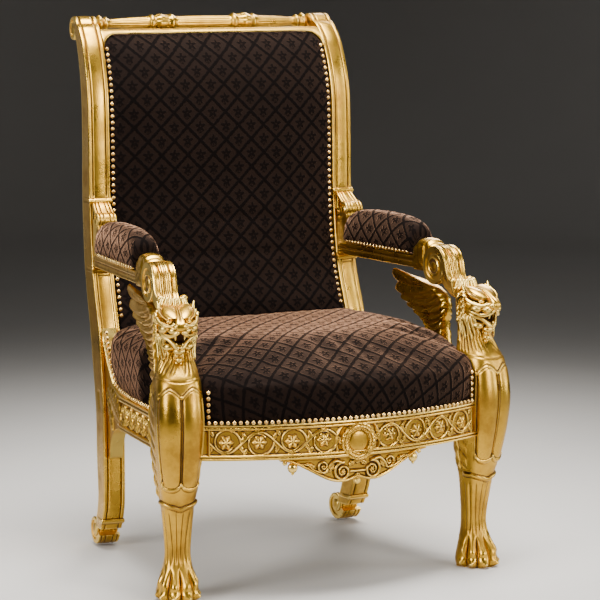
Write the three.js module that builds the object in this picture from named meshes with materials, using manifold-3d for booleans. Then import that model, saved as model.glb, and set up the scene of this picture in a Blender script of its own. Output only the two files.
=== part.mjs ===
// A carved and gilded throne armchair with lion-headed front legs, winged arm supports,
// a scrolled back and velvet upholstery. Millimetres, +Z up, the front of the seat faces -Y.
import * as THREE from "three";
import { mergeVertices } from "three/addons/utils/BufferGeometryUtils.js";
import Module from "manifold-3d";

const wasm = await Module();
wasm.setup();

// Driving dimensions
const GAP = 0.3; // joint gap between neighbouring pieces
const SPLAY = THREE.MathUtils.degToRad(5); // the sides open towards the front
const SIDE_X = 309.4; // half spacing of the side frames at mid depth
const POST = 47; // width of the back posts, arms and scrolls
const RAIL_BOTTOM = 282;
const RAIL_TOP = 353;
const FILLET = 11; // plain edge moulding of the seat rails
const SUNK = 5; // depth of the carved ground below the fillets
const RAIL_THICK = 28;
const BOW_FRONT = -395; // front of the bowed rail on the centre line
const BOW_RADIUS = 669;
const BOW_REACH = 335; // half length of the front rail along the bow
const ROSETTES_A_SIDE = 4;
const ROSETTE_FIRST = 73; // first rosette from the centre line, along the bow
const ROSETTE_PITCH = 66;
const WREATH_Z = 310;
const WREATH_RADIUS = 30;
const APRON_HALF = 163;
const APRON_DROP = 57;
const LEG = { x: 336, y: -266, turn: THREE.MathUtils.degToRad(14), top: 600 };
const SEAT_CROWN = 493;
const ARM_BOTTOM = 603;
const ARM_TOP = 630;
const SCROLL = { s: -160, z: 628, radius: 43 }; // front volute of the arm
const REAR_SCROLL = { s: 214, z: 702, radius: 18 }; // volute of the arm against the back post
const CREST = { y: 366, z: 1111, half: 249.8 };
const TOP_SCROLL = { s: 367, z: 1099, radius: 33 };
const FOOT_SCROLL = { s: 241, z: 37, radius: 38 }; // cut flat where it stands

const gilt = new THREE.MeshStandardMaterial({ color: 0xc9a24a, roughness: 0.35, metalness: 0.9 });
const velvet = new THREE.MeshStandardMaterial({ color: 0x2b1712, roughness: 0.9, metalness: 0 });

// Small mathematics shared by the carvings
const smooth = (t) => t * t * (3 - 2 * t);
const clamp01 = (t) => Math.min(1, Math.max(0, t));
const step = (edge0, edge1, x) => smooth(clamp01((x - edge0) / (edge1 - edge0)));
const bell = (x, centre, width) => Math.exp(-(((x - centre) / width) ** 2));
const range = (count) => Array.from({ length: count }, (_, i) => i);

// A smooth curve through the rows of a table whose first column is x.
function tableAt(rows, x) {
  const last = rows.length - 1;
  if (x <= rows[0][0]) return rows[0];
  if (x >= rows[last][0]) return rows[last];
  const i = rows.findIndex((row) => row[0] > x) - 1;
  const [p0, p1, p2, p3] = [-1, 0, 1, 2].map((k) => rows[Math.min(last, Math.max(0, i + k))]);
  const width = p2[0] - p1[0];
  const t = (x - p1[0]) / width;
  return p1.map((value, k) => {
    const m1 = ((p2[k] - p0[k]) / (p2[0] - p0[0])) * width;
    const m2 = ((p3[k] - p1[k]) / (p3[0] - p1[0])) * width;
    const rise = p2[k] - value;
    return value + t * (m1 + t * (3 * rise - 2 * m1 - m2 + t * (m1 + m2 - 2 * rise)));
  });
}

// Evenly split spans [from, to, pieces] run together.
const spanned = (spans) => [
  ...spans.flatMap(([from, to, pieces]) => range(pieces).map((i) => from + ((to - from) * i) / pieces)),
  spans[spans.length - 1][1],
];

// A closed solid through a row of rings with equal counts, ends closed by fans.
function ringSolid(rings) {
  const count = rings[0].length;
  const points = rings.flat();
  const faces = [];
  for (let i = 0; i < rings.length - 1; i++)
    for (let j = 0; j < count; j++) {
      const a = i * count + j;
      const b = i * count + ((j + 1) % count);
      faces.push(a, b, b + count, a, b + count, a + count);
    }
  const middle = (ring) => ring.reduce((sum, p) => sum.add(p), new THREE.Vector3()).divideScalar(count);
  points.push(middle(rings[0]), middle(rings[rings.length - 1]));
  const start = points.length - 2;
  const lastRing = (rings.length - 1) * count;
  for (let j = 0; j < count; j++) {
    const k = (j + 1) % count;
    faces.push(start, k, j, start + 1, lastRing + j, lastRing + k);
  }
  const geometry = new THREE.BufferGeometry().setFromPoints(points);
  geometry.setIndex(faces);
  return geometry;
}

// A closed three.js geometry as a solid, turned right side out.
function solid(geometry) {
  const bare = geometry.index ? geometry.toNonIndexed() : geometry.clone();
  bare.deleteAttribute("normal");
  bare.deleteAttribute("uv");
  const merged = mergeVertices(bare, 1e-3);
  const position = merged.attributes.position;
  const index = merged.index.array;
  const [a, b, c] = range(3).map(() => new THREE.Vector3());
  let volume = 0;
  const triangles = [];
  for (let i = 0; i < index.length; i += 3) {
    const [p, q, r] = [index[i], index[i + 1], index[i + 2]];
    if (p === q || q === r || r === p) continue;
    triangles.push([p, q, r]);
    a.fromBufferAttribute(position, p);
    b.fromBufferAttribute(position, q);
    c.fromBufferAttribute(position, r);
    volume += a.dot(b.cross(c));
  }
  const triVerts = new Uint32Array(triangles.map((t) => (volume < 0 ? [t[0], t[2], t[1]] : t)).flat());
  return new wasm.Manifold(
    new wasm.Mesh({ numProp: 3, vertProperties: new Float32Array(position.array), triVerts }),
  );
}

function geometryOf(manifold) {
  const mesh = manifold.getMesh();
  const geometry = new THREE.BufferGeometry();
  geometry.setAttribute("position", new THREE.BufferAttribute(mesh.vertProperties, 3));
  geometry.setIndex(new THREE.BufferAttribute(mesh.triVerts, 1));
  return geometry;
}

const join = (geometries) => geometries.map(solid).reduce((sum, part) => sum.add(part));

function meshOf(shape, name, material) {
  const body = shape.isBufferGeometry ? solid(shape) : shape;
  const mesh = new THREE.Mesh(geometryOf(body), material);
  mesh.name = name;
  return mesh;
}

// Frames: a side frame holds X outwards, Y to the back; a leg frame is turned to face outwards.
const sideMatrix = new THREE.Matrix4().makeRotationZ(SPLAY).setPosition(SIDE_X, 0, 0);
const legMatrix = new THREE.Matrix4().makeRotationZ(LEG.turn).setPosition(LEG.x, LEG.y, 0);
const mirror = new THREE.Matrix4().makeScale(-1, 1, 1);
const worldToSide = sideMatrix.clone().invert();

// A ring of a rectangle in the side plane: the section (across, forward) carried on a path.
function sweepRings(path, section) {
  return path.map((p, i) => {
    const before = path[Math.max(0, i - 1)];
    const after = path[Math.min(path.length - 1, i + 1)];
    const along = new THREE.Vector2(after.s - before.s, after.z - before.z).normalize();
    const front = new THREE.Vector2(-along.y, along.x);
    return section(p).map(
      ([t, n]) => new THREE.Vector3(t, p.s + front.x * n, p.z + front.y * n),
    );
  });
}

// An outline in the side plane, (s, z) points, extruded across the frame from t0 to t1.
function sidePlate(points, t0, t1) {
  const shape = new THREE.Shape(points.map(([s, z]) => new THREE.Vector2(s, z)));
  const plate = new THREE.ExtrudeGeometry(shape, { depth: t1 - t0, bevelEnabled: false });
  plate.applyMatrix4(
    new THREE.Matrix4().makeBasis(
      new THREE.Vector3(0, 1, 0),
      new THREE.Vector3(0, 0, 1),
      new THREE.Vector3(1, 0, 0),
    ),
  );
  return plate.translate(t0, 0, 0);
}

const arc = (s, z, radius, from, to, count) =>
  range(count + 1).map((i) => {
    const angle = THREE.MathUtils.degToRad(from + ((to - from) * i) / count);
    return [s + radius * Math.cos(angle), z + radius * Math.sin(angle)];
  });

const curve2 = (points, count) =>
  new THREE.SplineCurve(points.map(([x, y]) => new THREE.Vector2(x, y)))
    .getSpacedPoints(count)
    .map((p) => [p.x, p.y]);

// A disc across the side frame, such as a volute's cheek or its eye.
function crossDisc(s, z, radius, half, sides) {
  return new THREE.CylinderGeometry(radius, radius, 2 * half, sides)
    .rotateZ(Math.PI / 2)
    .translate(0, s, z);
}

// Back post: rear leg, upright and rolled top in one, as rows of z, s of its middle, half depth.
const postRows = [
  [44, 213, 20],
  [90, 192, 22],
  [122, 187, 22],
  [200, 190, 26],
  [300, 193, 27],
  [400, 210, 30],
  [470, 225, 32],
  [586, 261, 29],
  [717, 277, 27],
  [867, 278, 24],
  [975, 284, 23],
  [1062, 312, 21],
  [1104, 342, 19],
  [1114, 359, 18],
];
const postLevels = spanned([
  [44, 122, 3],
  [122, 470, 5],
  [470, 717, 4],
  [717, 975, 3],
  [975, 1104, 5],
  [1104, 1114, 2],
]);
const postFront = (z) => {
  const [, s, half] = tableAt(postRows, z);
  return s - half;
};
const postBack = (z) => {
  const [, s, half] = tableAt(postRows, z);
  return s + half;
};

function postSection(half, spread) {
  const edge = POST / 2 + spread;
  const sink = spread ? 0 : 3;
  const [outer, groove, inner] = [edge - 7, edge - 8.5, edge - 10];
  const front = half + spread;
  return [
    [edge, -front],
    [edge, front],
    [outer, front],
    [groove, front - sink],
    [inner, front],
    [-inner, front],
    [-groove, front - sink],
    [-outer, front],
    [-edge, front],
    [-edge, -front],
  ];
}

function backPost(spread = 0) {
  const path = postLevels.map((level) => {
    const [z, s, half] = tableAt(postRows, level);
    return { z, s, half };
  });
  const body = ringSolid(sweepRings(path, (p) => postSection(p.half, spread)));
  const volutes = [TOP_SCROLL, FOOT_SCROLL].flatMap((v) => [
    crossDisc(v.s, v.z, v.radius + spread, POST / 2 + 1 + spread, 14),
    crossDisc(v.s, v.z, 10 + spread, POST / 2 + 3 + spread, 6),
  ]);
  // raised half-round bands across the front of the post
  const bands = [62, 596, 741].map((z) =>
    crossDisc(postFront(z) + 2, z, 6 + spread, POST / 2 + 0.5 + spread, 6),
  );
  const floor = new THREE.BoxGeometry(200, 400, 40).translate(0, FOOT_SCROLL.s, -20);
  return join([body, ...volutes, ...bands]).subtract(solid(floor));
}

// Side rail: moulded board with curved brackets where it meets the back post.
const RAIL_FRONT = -240;
function bracketOutline(rise) {
  const top = curve2([[20, RAIL_TOP + rise], [96, 362 + rise], [135, 392 + rise], [170, 440 + rise]], 6);
  const bottom = curve2([[150, 205], [146, 232], [118, 268], [70, RAIL_BOTTOM]], 6);
  const front = [[RAIL_FRONT, RAIL_TOP + rise], [RAIL_FRONT, RAIL_BOTTOM]];
  return [...top.reverse(), ...front, ...bottom.reverse(), [190, 205], [190, 440 + rise]];
}

function sideRail() {
  const board = sidePlate(bracketOutline(0), -RAIL_THICK / 2, 15);
  const fillets = [RAIL_BOTTOM, RAIL_TOP - FILLET].map((z) =>
    new THREE.BoxGeometry(SUNK + 1, 60 - RAIL_FRONT, FILLET).translate(
      14.5 + SUNK / 2,
      (60 + RAIL_FRONT) / 2,
      z + FILLET / 2,
    ),
  );
  // upright leaves along the sunk ground
  const leaves = range(7).map((i) => leaf(15, -212 + i * 40, (RAIL_BOTTOM + RAIL_TOP) / 2, 15, 24, SUNK));
  return join([board, ...fillets, ...leaves]);
}

// A raised upright leaf on a side face: an oval dome pinched towards its tip.
function leaf(t, s, z, halfWide, halfTall, proud) {
  const ring = (scale, lift) =>
    range(6).map((i) => {
      const angle = ((i + 0.5) / 6) * 2 * Math.PI;
      const pinch = 1 - 0.35 * Math.sin(angle);
      return new THREE.Vector3(
        t + lift,
        s + halfWide * scale * pinch * Math.cos(angle),
        z + halfTall * scale * Math.sin(angle),
      );
    });
  return ringSolid([ring(1, -1), ring(0.7, proud * 0.8), ring(0.2, proud * 0.3)]);
}

// Arm: moulded rail, a reeded volute over the lion's head and a smaller one at the back post.
function reeded(outline, half, reeds, depth) {
  const across = 3 * reeds;
  const mean = (k) => outline.reduce((sum, p) => sum + p[k] / outline.length, 0);
  const centre = [mean(0), mean(1)];
  const rings = range(across + 1).map((i) => {
    const t = -half + (2 * half * i) / across;
    const sink = depth * (1 - Math.abs(Math.sin((Math.PI * i) / 3)));
    return outline.map(([s, z]) => {
      const reach = Math.hypot(s - centre[0], z - centre[1]);
      const keep = 1 - sink / reach;
      return new THREE.Vector3(t, centre[0] + (s - centre[0]) * keep, centre[1] + (z - centre[1]) * keep);
    });
  });
  return ringSolid(rings);
}

function arm() {
  const half = POST / 2;
  const rear = postFront(640) - 2 * GAP;
  const railPath = range(9).map((i) => {
    const s = -100 + ((rear - 8 + 100) * i) / 8;
    return { s, z: (ARM_BOTTOM + ARM_TOP) / 2, half: (ARM_TOP - ARM_BOTTOM) / 2 };
  });
  const rail = ringSolid(
    sweepRings(railPath, (p) => [
      [half - 3, -p.half],
      [half - 5, -p.half + 6],
      [half - 1, p.half - 6],
      [half - 1, p.half],
      [-half + 1, p.half],
      [-half + 1, p.half - 6],
      [-half + 5, -p.half + 6],
      [-half + 3, -p.half],
    ]),
  );
  const { s, z, radius } = SCROLL;
  const frontVolute = reeded(arc(s, z, radius, 0, 332.3, 12), half + 1, 2, 2.5);
  const blockOutline = [[-70, ARM_BOTTOM - 4], [-70, 657], [-82, 667], [s, 670], [s, ARM_BOTTOM - 10]];
  const block = sidePlate(blockOutline, -half, half);
  const neckOuter = curve2([[-198, 648], [-206, 624], [-213, 602], [-236, 590]], 5);
  const neckInner = curve2([[-214, 566], [-200, 574], [-188, 592], [-176, 612]], 5);
  const neck = sidePlate([...neckOuter, ...neckInner], -half + 4, half - 4);
  const eye = crossDisc(s, z - 4, 11, half + 4, 10);
  const back = REAR_SCROLL;
  const rearVolute = reeded(arc(back.s, back.z, back.radius, 0, 324, 9), half, 1, 2);
  const rearEye = crossDisc(back.s, back.z, 6, half + 2.5, 8);
  return join([rail, frontVolute, block, neck, eye, rearVolute, rearEye, armRiser(half - 3)]);
}

// The arm's back end sweeping up the post to a leaf under the collar.
function armRiser(half) {
  const sweepUp = curve2([[150, ARM_TOP - 4], [178, 640], [196, 664], [200, 690]], 5);
  return sidePlate([...sweepUp, [214, 716], [postFront(735) - 2, 735], [250, 735], [250, 605]], -half, half);
}

// Arm pad: a crowned cushion on the arm rail.
function armPad() {
  const [front, back, wide] = [-69, 200, 34];
  const [base, top] = [ARM_TOP + 2 * GAP, 711];
  const rings = range(11).map((i) => {
    const a = (i / 10) * Math.PI;
    const share = Math.sign(Math.cos(a)) * Math.abs(Math.cos(a)) ** 0.8;
    const s = (front + back) / 2 - ((back - front) / 2) * share;
    const swell = Math.sin(a);
    const girth = wide * (0.72 + 0.28 * swell ** 0.5);
    const height = (top - base) * (0.5 + 0.5 * swell ** 0.7);
    return range(12).map((j) => {
      const angle = (j / 12) * 2 * Math.PI;
      const [c, n] = [Math.cos(angle), Math.sin(angle)];
      const t = girth * Math.sign(c) * Math.abs(c) ** 0.65;
      const z = base + height * (n > 0 ? 0.3 + 0.7 * n ** 0.8 : 0.3 * (1 - Math.abs(n) ** 0.5));
      return new THREE.Vector3(t, s, z);
    });
  });
  return ringSolid(rings);
}

// Wing: a fan of feathers from a thick leading edge, carved alike on both faces.
const WING_OUT = 4; // the wing stands a little outside the middle of the arm
const wingRoot = new THREE.SplineCurve(
  [[-160, 583], [-184, 567], [-197, 537], [-191, 502], [-183, 472], [-183, 430], [-184, RAIL_TOP + GAP]].map(
    ([s, z]) => new THREE.Vector2(s, z),
  ),
);
const wingTips = new THREE.SplineCurve(
  [[46, 598], [6, 552], [-36, 520], [-78, 503], [-103, 480], [-106, 430], [-120, RAIL_TOP + GAP]].map(
    ([s, z]) => new THREE.Vector2(s, z),
  ),
);
const FEATHERS = 6;

function wing() {
  const rows = 4 * FEATHERS;
  const columns = 3;
  const rings = range(rows + 1).map((i) => {
    const v = i / rows;
    const root = wingRoot.getPoint(v);
    const tip = wingTips.getPoint(v);
    const ridge = Math.abs(Math.sin(Math.PI * FEATHERS * v));
    const reach = 0.93 + 0.07 * ridge;
    const face = (side) =>
      range(columns + 1).map((j) => {
        const u = (j / columns) * reach;
        const thick = (9 - 4.5 * u) * (0.72 + 0.28 * ridge) * (0.55 + 0.45 * step(0, 0.2, u + 0.05));
        const out = WING_OUT + side * thick;
        return new THREE.Vector3(out, root.x + (tip.x - root.x) * u, root.y + (tip.y - root.y) * u);
      });
    return [...face(1), ...face(-1).reverse()];
  });
  return ringSolid(rings);
}

// Front leg: one carved timber from the paw to the lion's head, a radius round an upright axis.
// Rows of height, half width, reach forwards, reach backwards.
const legRows = [
  [0, 41, 52, 28],
  [16, 43, 55, 30],
  [45, 36, 40, 29],
  [80, 26, 20, 28],
  [115, 26, 20, 27],
  [180, 33, 35, 28],
  [245, 43, 54, 33],
  [310, 50, 68, 38],
  [365, 52, 73, 39],
  [425, 48, 62, 38],
  [458, 38, 44, 34],
  [480, 34, 37, 33],
  [545, 39, 41, 37],
  [580, 37, 40, 37],
  [600, 24, 24, 30],
];
// Lumps of the head: bearing in degrees from the front, height, size, spread in degrees and height.
const headLumps = [
  [0, 549, 23, 22, 13],
  [0, 540, 9, 34, 14],
  [21, 538, 6, 12, 9],
  [0, 511, 17, 26, 9],
  [0, 566, 9, 14, 13],
  [30, 570, 5, 16, 10],
  [30, 553, -5, 10, 5],
  [58, 548, 6, 18, 12],
  [78, 572, 6, 14, 11],
  [95, 525, 5, 20, 30],
  [0, 488, 5, 14, 12],
];

function legRadius(angle, z) {
  const [, wide, front, back] = tableAt(legRows, z);
  const [across, ahead] = [Math.sin(angle), Math.cos(angle)];
  const square = z < 60 ? 2.4 : z < 200 ? 2.6 : z < 450 ? 3.2 : 2.3;
  const depth = ahead > 0 ? front : back;
  let radius = (Math.abs(across / wide) ** square + Math.abs(ahead / depth) ** square) ** (-1 / square);
  const bearing = THREE.MathUtils.radToDeg(angle);
  // toes
  const toe = 1 - Math.abs(Math.sin((Math.PI * bearing) / 34));
  radius -= 7 * (1 - step(38, 62, z)) * (1 - toe) ** 3 * step(110, 70, Math.abs(bearing));
  // twin flutes on the front of the leg between the collar and the chest
  const flute = 1 - Math.abs(Math.sin((Math.PI * bearing) / 42)) ** 0.6;
  const fluted = step(222, 234, z) * (1 - step(416, 430, z)) * step(56, 46, Math.abs(bearing));
  radius -= 4.5 * flute * fluted;
  radius += 4 * (bell(z, 226, 5) + bell(z, 191, 5)) * step(66, 50, Math.abs(bearing));
  // tendons of the lower leg
  const shank = step(66, 86, z) * (1 - step(172, 184, z)) * step(80, 60, Math.abs(bearing));
  radius -= 3 * shank * (1 - Math.abs(Math.sin((Math.PI * (bearing + 25)) / 50)) ** 0.7);
  // head
  for (const [turn, height, size, spread, tall] of headLumps)
    for (const side of turn ? [1, -1] : [1])
      radius += size * bell(bearing, side * turn, spread) * bell(z, height, tall);
  radius -= 20 * bell(bearing, 0, 30) * bell(z, 526, 6); // open mouth
  radius += 2.5 * Math.sin(9 * angle) * step(80, 105, Math.abs(bearing)) * bell(z, 530, 45); // mane
  return radius;
}

const halfTurn = [10, 21, 32, 42, 58, 84, 116, 150];
const legAngles = [0, ...halfTurn, 180, ...halfTurn.map((degrees) => -degrees).reverse()];
const legLevels = spanned([
  [0, 66, 4],
  [66, 176, 2],
  [176, 200, 3],
  [200, 226, 2],
  [226, 240, 2],
  [240, 410, 4],
  [410, 460, 3],
  [460, 500, 2],
  [500, 596, 11],
  [596, LEG.top, 1],
]);

function frontLeg(spread = 0) {
  const rings = legLevels.map((z) =>
    legAngles.map((degrees) => {
      const angle = THREE.MathUtils.degToRad(degrees);
      const radius = legRadius(angle, z) + spread;
      return new THREE.Vector3(radius * Math.sin(angle), -radius * Math.cos(angle), z);
    }),
  );
  return ringSolid(rings);
}

// The front rail's bow: x runs along the rail, -y stands proud of it.
function onBow(geometry) {
  const position = geometry.attributes.position;
  for (let i = 0; i < position.count; i++) {
    const turn = position.getX(i) / BOW_RADIUS;
    const radius = BOW_RADIUS - position.getY(i);
    position.setX(i, radius * Math.sin(turn));
    position.setY(i, BOW_FRONT + BOW_RADIUS - radius * Math.cos(turn));
  }
  return geometry;
}

const faceDisc = (x, z, profile, sides, ground = SUNK) =>
  new THREE.LatheGeometry(profile.map(([r, h]) => new THREE.Vector2(r, h)), sides)
    .rotateX(Math.PI)
    .translate(x, ground, z);

// A flower in a ring of vine: a dome with a hollow round it inside a raised stem.
const rosette = (x, z) =>
  faceDisc(x, z, [[0, -1], [24, -1], [23, 4], [17, 0.5], [11, 4.5], [0, 6]], 8);

function frontRail(clearance) {
  const steps = 20;
  const section = [
    [RAIL_THICK, RAIL_BOTTOM],
    [0, RAIL_BOTTOM],
    [0, RAIL_BOTTOM + FILLET],
    [SUNK, RAIL_BOTTOM + FILLET + 2],
    [SUNK, RAIL_TOP - FILLET - 2],
    [0, RAIL_TOP - FILLET],
    [0, RAIL_TOP],
    [RAIL_THICK, RAIL_TOP],
  ];
  const rings = range(steps + 1).map((i) => {
    const x = -BOW_REACH + (2 * BOW_REACH * i) / steps;
    return section.map(([y, z]) => new THREE.Vector3(x, y, z));
  });
  const middle = (RAIL_BOTTOM + RAIL_TOP) / 2;
  const carving = range(ROSETTES_A_SIDE).flatMap((i) => {
    const x = ROSETTE_FIRST + i * ROSETTE_PITCH;
    return [rosette(x, middle), rosette(-x, middle)];
  });
  return join([ringSolid(rings), ...carving].map(onBow)).subtract(clearance);
}

// Wreath with a plain boss, laid over the front rail and the apron.
function medallion() {
  const wreath = new THREE.TorusGeometry(WREATH_RADIUS, 7.5, 5, 20);
  const position = wreath.attributes.position;
  const [point, spine] = [new THREE.Vector3(), new THREE.Vector3()];
  for (let i = 0; i < position.count; i++) {
    point.fromBufferAttribute(position, i);
    const turn = Math.atan2(point.y, point.x);
    spine.set(WREATH_RADIUS * Math.cos(turn), WREATH_RADIUS * Math.sin(turn), 0);
    const roll = Math.atan2(point.z, Math.hypot(point.x, point.y) - WREATH_RADIUS);
    point.sub(spine).multiplyScalar(1 + 0.16 * Math.cos(8 * turn + 2 * roll)).add(spine);
    position.setXYZ(i, point.x, point.y, point.z);
  }
  const boss = [[0, -8.4], [WREATH_RADIUS, -8.4], [WREATH_RADIUS, -2], [22, -1], [0, 3]];
  const disc = new THREE.LatheGeometry(boss.map(([r, h]) => new THREE.Vector2(r, h)), 12).rotateX(Math.PI);
  wreath.rotateX(Math.PI / 2);
  const lift = -8.8 - GAP;
  return join([wreath, disc].map((part) => onBow(part.translate(0, lift, WREATH_Z))));
}

// Apron: a shaped board under the front rail with scrolls in relief, drop balls and a pendant.
const apronEdge = (x) => {
  const share = Math.abs(x) / APRON_HALF;
  const bulge = 1 - step(0.22, 1, share) - 0.14 * bell(share, 0, 0.1);
  return RAIL_BOTTOM - 5 - (APRON_DROP - 9) * bulge;
};

function apron() {
  const steps = 14;
  const [front, back] = [4, RAIL_THICK - 4];
  const rings = range(steps + 1).map((i) => {
    const x = -APRON_HALF + (2 * APRON_HALF * i) / steps;
    const low = apronEdge(x);
    return [
      [back, low],
      [front, low],
      [front, low + 5],
      [front + 3, low + 5 + 1],
      [front + 3, RAIL_BOTTOM - GAP],
      [back, RAIL_BOTTOM - GAP],
    ].map(([y, z]) => new THREE.Vector3(x, y, Math.min(z, RAIL_BOTTOM - GAP)));
  });
  const scrolls = [1, -1].flatMap((side) => [
    faceDisc(side * 33, 250, [[0, -1], [17, -1], [15, 4], [10, 1], [5, 4], [0, 5]], 9, 8),
    faceDisc(side * 74, 262, [[0, -1], [10, -1], [8, 3], [4, 1], [0, 3]], 8, 8),
    new THREE.SphereGeometry(9, 6, 4).translate(side * 137, 12, RAIL_BOTTOM - 20),
    new THREE.CylinderGeometry(6, 6, 14, 6).rotateX(Math.PI / 2).translate(side * 137, 12, RAIL_BOTTOM - 9),
  ]);
  const pendant = [
    new THREE.SphereGeometry(13, 8, 4).scale(1.2, 0.7, 0.8).translate(0, 6, 229),
    new THREE.SphereGeometry(9, 6, 4).scale(0.8, 0.7, 1).translate(0, 6, 222),
    new THREE.BoxGeometry(40, 5, 8).translate(0, 4.5, 249),
  ];
  return join([ringSolid(rings), ...scrolls, ...pendant].map(onBow));
}

// Crest rail: a turned bar with leafy collars, and a flat framing rail below it.
function crestRail() {
  const turned = [
    [0, 0],
    [14, 0],
    [18, 8],
    [12, 16],
    [15, 22],
    [10, 32],
    [15, 124],
    [19, 129],
    [16, 135],
    [20, 148],
    [17, 168],
    [20, 176],
    [15, 184],
    [15, 208],
  ];
  const whole = [...turned, ...turned.slice(0, -1).reverse().map(([r, h]) => [r, 2 * CREST.half - h])];
  const scaled = whole.map(([r, h]) => new THREE.Vector2(r, h));
  scaled[13].y = CREST.half - 6;
  scaled.splice(14, 0, new THREE.Vector2(15, CREST.half + 6));
  return new THREE.LatheGeometry(scaled, 8)
    .translate(0, -CREST.half, 0)
    .rotateZ(Math.PI / 2)
    .translate(0, CREST.y, CREST.z);
}

// The padded back follows the front of the posts; x of the posts' inner faces at a depth s.
const innerX = (s) => SIDE_X - (POST / 2) * Math.cos(SPLAY) - s * Math.sin(SPLAY);
const innerY = (s) => s * Math.cos(SPLAY) - (POST / 2) * Math.sin(SPLAY);

const CORNER = 34; // rounding of the upholstered back's upper corners
const cornerDrop = (share) => {
  const inside = CORNER - 258 * (1 - Math.abs(share));
  return inside > 0 ? CORNER - Math.sqrt(CORNER ** 2 - inside ** 2) : 0;
};
const shares = [-1, -0.985, -0.955, -0.915, -0.868, -0.45, 0, 0.45, 0.868, 0.915, 0.955, 0.985, 1];

function backBoard(zLow, zHigh, steps, columns, front, back, inset) {
  const rings = range(steps + 1).map((i) => {
    const row = (depth) =>
      columns.map((share) => {
        const z = zLow + ((zHigh(share) - zLow) * i) / steps;
        const s = depth(z, share);
        return new THREE.Vector3((innerX(s) - inset) * share, innerY(s), z);
      });
    return [...row(front), ...row(back).reverse()];
  });
  return ringSolid(rings);
}

const BACK_TOP = 1090;
function insideBack() {
  const crown = (z, share) => 16 * (1 - share ** 4) * step(455, 520, z) * (1 - 0.6 * step(1040, 1092, z));
  const front = (z, share) => postFront(z) + 5 - crown(z, share);
  const top = (share) => BACK_TOP - cornerDrop(share);
  return backBoard(452, top, 8, shares, front, (z) => postFront(z) + 22, 1.2);
}

function outsideBack() {
  return backBoard(370, () => 1070, 12, [-1, 0, 1], (z) => postBack(z) - 9, (z) => postBack(z) - 3, 0.7);
}

// Top rail: a slim framing rail whose ends swell into the rounded corners of the back.
function topRail() {
  const rings = shares.map((share) => {
    const [low, high] = [BACK_TOP + 2 * GAP - cornerDrop(share), BACK_TOP + 10];
    return [
      [low, -1],
      [high, -1],
      [high, 26],
      [low, 26],
    ].map(([z, deep]) => {
      const s = postFront(z) + deep;
      return new THREE.Vector3(share * (innerX(s) - 1.2), innerY(s), z);
    });
  });
  return ringSolid(rings);
}

function backRail() {
  const half = innerX(202) - 0.6;
  const middle = (RAIL_TOP + RAIL_BOTTOM) / 2;
  return new THREE.BoxGeometry(2 * half, 24, RAIL_TOP - RAIL_BOTTOM).translate(0, innerY(188), middle);
}

// Seat: a stuffed-over cushion, bowed in front, crowned on top and notched round legs and posts.
const bowY = (x) => BOW_FRONT + BOW_RADIUS - Math.sqrt(BOW_RADIUS ** 2 - x ** 2);
const SEAT_BACK = 186;

const seatRows = [
  // share of the plan, height at the front, height at the sides and back
  [0.985, RAIL_TOP + GAP, RAIL_TOP + GAP],
  [1, 388, 420],
  [0.985, 418, 462],
  [0.95, 436, 481],
  [0.88, 450, 489],
  [0.7, 467, 493],
  [0.4, 483, 494],
  [0.1, SEAT_CROWN, SEAT_CROWN],
];

function seatPoint(angle, [share, frontZ, backZ]) {
  const square = 14;
  const [c, s] = [Math.cos(angle), Math.sin(angle)];
  const reach = share * (Math.abs(c) ** square + Math.abs(s) ** square) ** (-1 / square);
  const depth = (reach * s + 1) / 2;
  const along = -320 + depth * (SEAT_BACK + 320);
  const x = reach * c * (SIDE_X + 14 - along * Math.tan(SPLAY));
  const y = bowY(x) + 1 + depth * (SEAT_BACK - bowY(x) - 1);
  return new THREE.Vector3(x, y, frontZ + (backZ - frontZ) * step(0, 0.36, depth));
}

function seatCushion(clearances) {
  const segments = 24;
  const rings = seatRows.map((row) =>
    range(segments).map((i) => seatPoint((i / segments) * 2 * Math.PI, row)),
  );
  return clearances.reduce((shape, cut) => shape.subtract(cut), solid(ringSolid(rings)));
}

// Assembly
const placed = (geometry, ...matrices) => matrices.reduce((g, m) => g.applyMatrix4(m), geometry.clone());
const grownLeg = frontLeg(GAP + 0.1);
const grownPost = geometryOf(backPost(GAP + 0.5));
const legRight = solid(placed(grownLeg, legMatrix));
const legLeft = solid(placed(grownLeg, legMatrix, mirror));
const legInSide = solid(placed(grownLeg, legMatrix, worldToSide));
const bothLegs = legRight.add(legLeft);

const rail = sideRail().subtract(legInSide).subtract(solid(grownPost));
const armShape = arm().subtract(solid(grownPost)).subtract(legInSide);
const wingShape = solid(wing()).subtract(legInSide);
const padShape = solid(armPad()).subtract(solid(armRiser(50).translate(0, -2 * GAP, 0)));
const bracket = sidePlate(bracketOutline(GAP), -RAIL_THICK / 2 - GAP, 30);
const wingRoom = sidePlate([[-240, 350], [-103, 350], [-86, 500], [-240, 500]], WING_OUT - 10, 30);

function sideNodes(word) {
  const side = new THREE.Group();
  side.applyMatrix4(sideMatrix);
  side.add(
    meshOf(backPost(), `${word}_back_post`, gilt),
    meshOf(rail, `${word}_side_rail`, gilt),
    meshOf(armShape, `${word}_arm`, gilt),
    meshOf(padShape, `${word}_arm_pad`, velvet),
    meshOf(wingShape, `${word}_wing`, gilt),
  );
  const leg = new THREE.Group();
  leg.applyMatrix4(legMatrix);
  leg.add(meshOf(frontLeg(), `${word}_front_leg`, gilt));
  const half = new THREE.Group();
  half.add(side, leg);
  return half;
}

const throne = new THREE.Group();
const rightHalf = sideNodes("right");
const leftHalf = sideNodes("left");
leftHalf.scale.x = -1;

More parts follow.
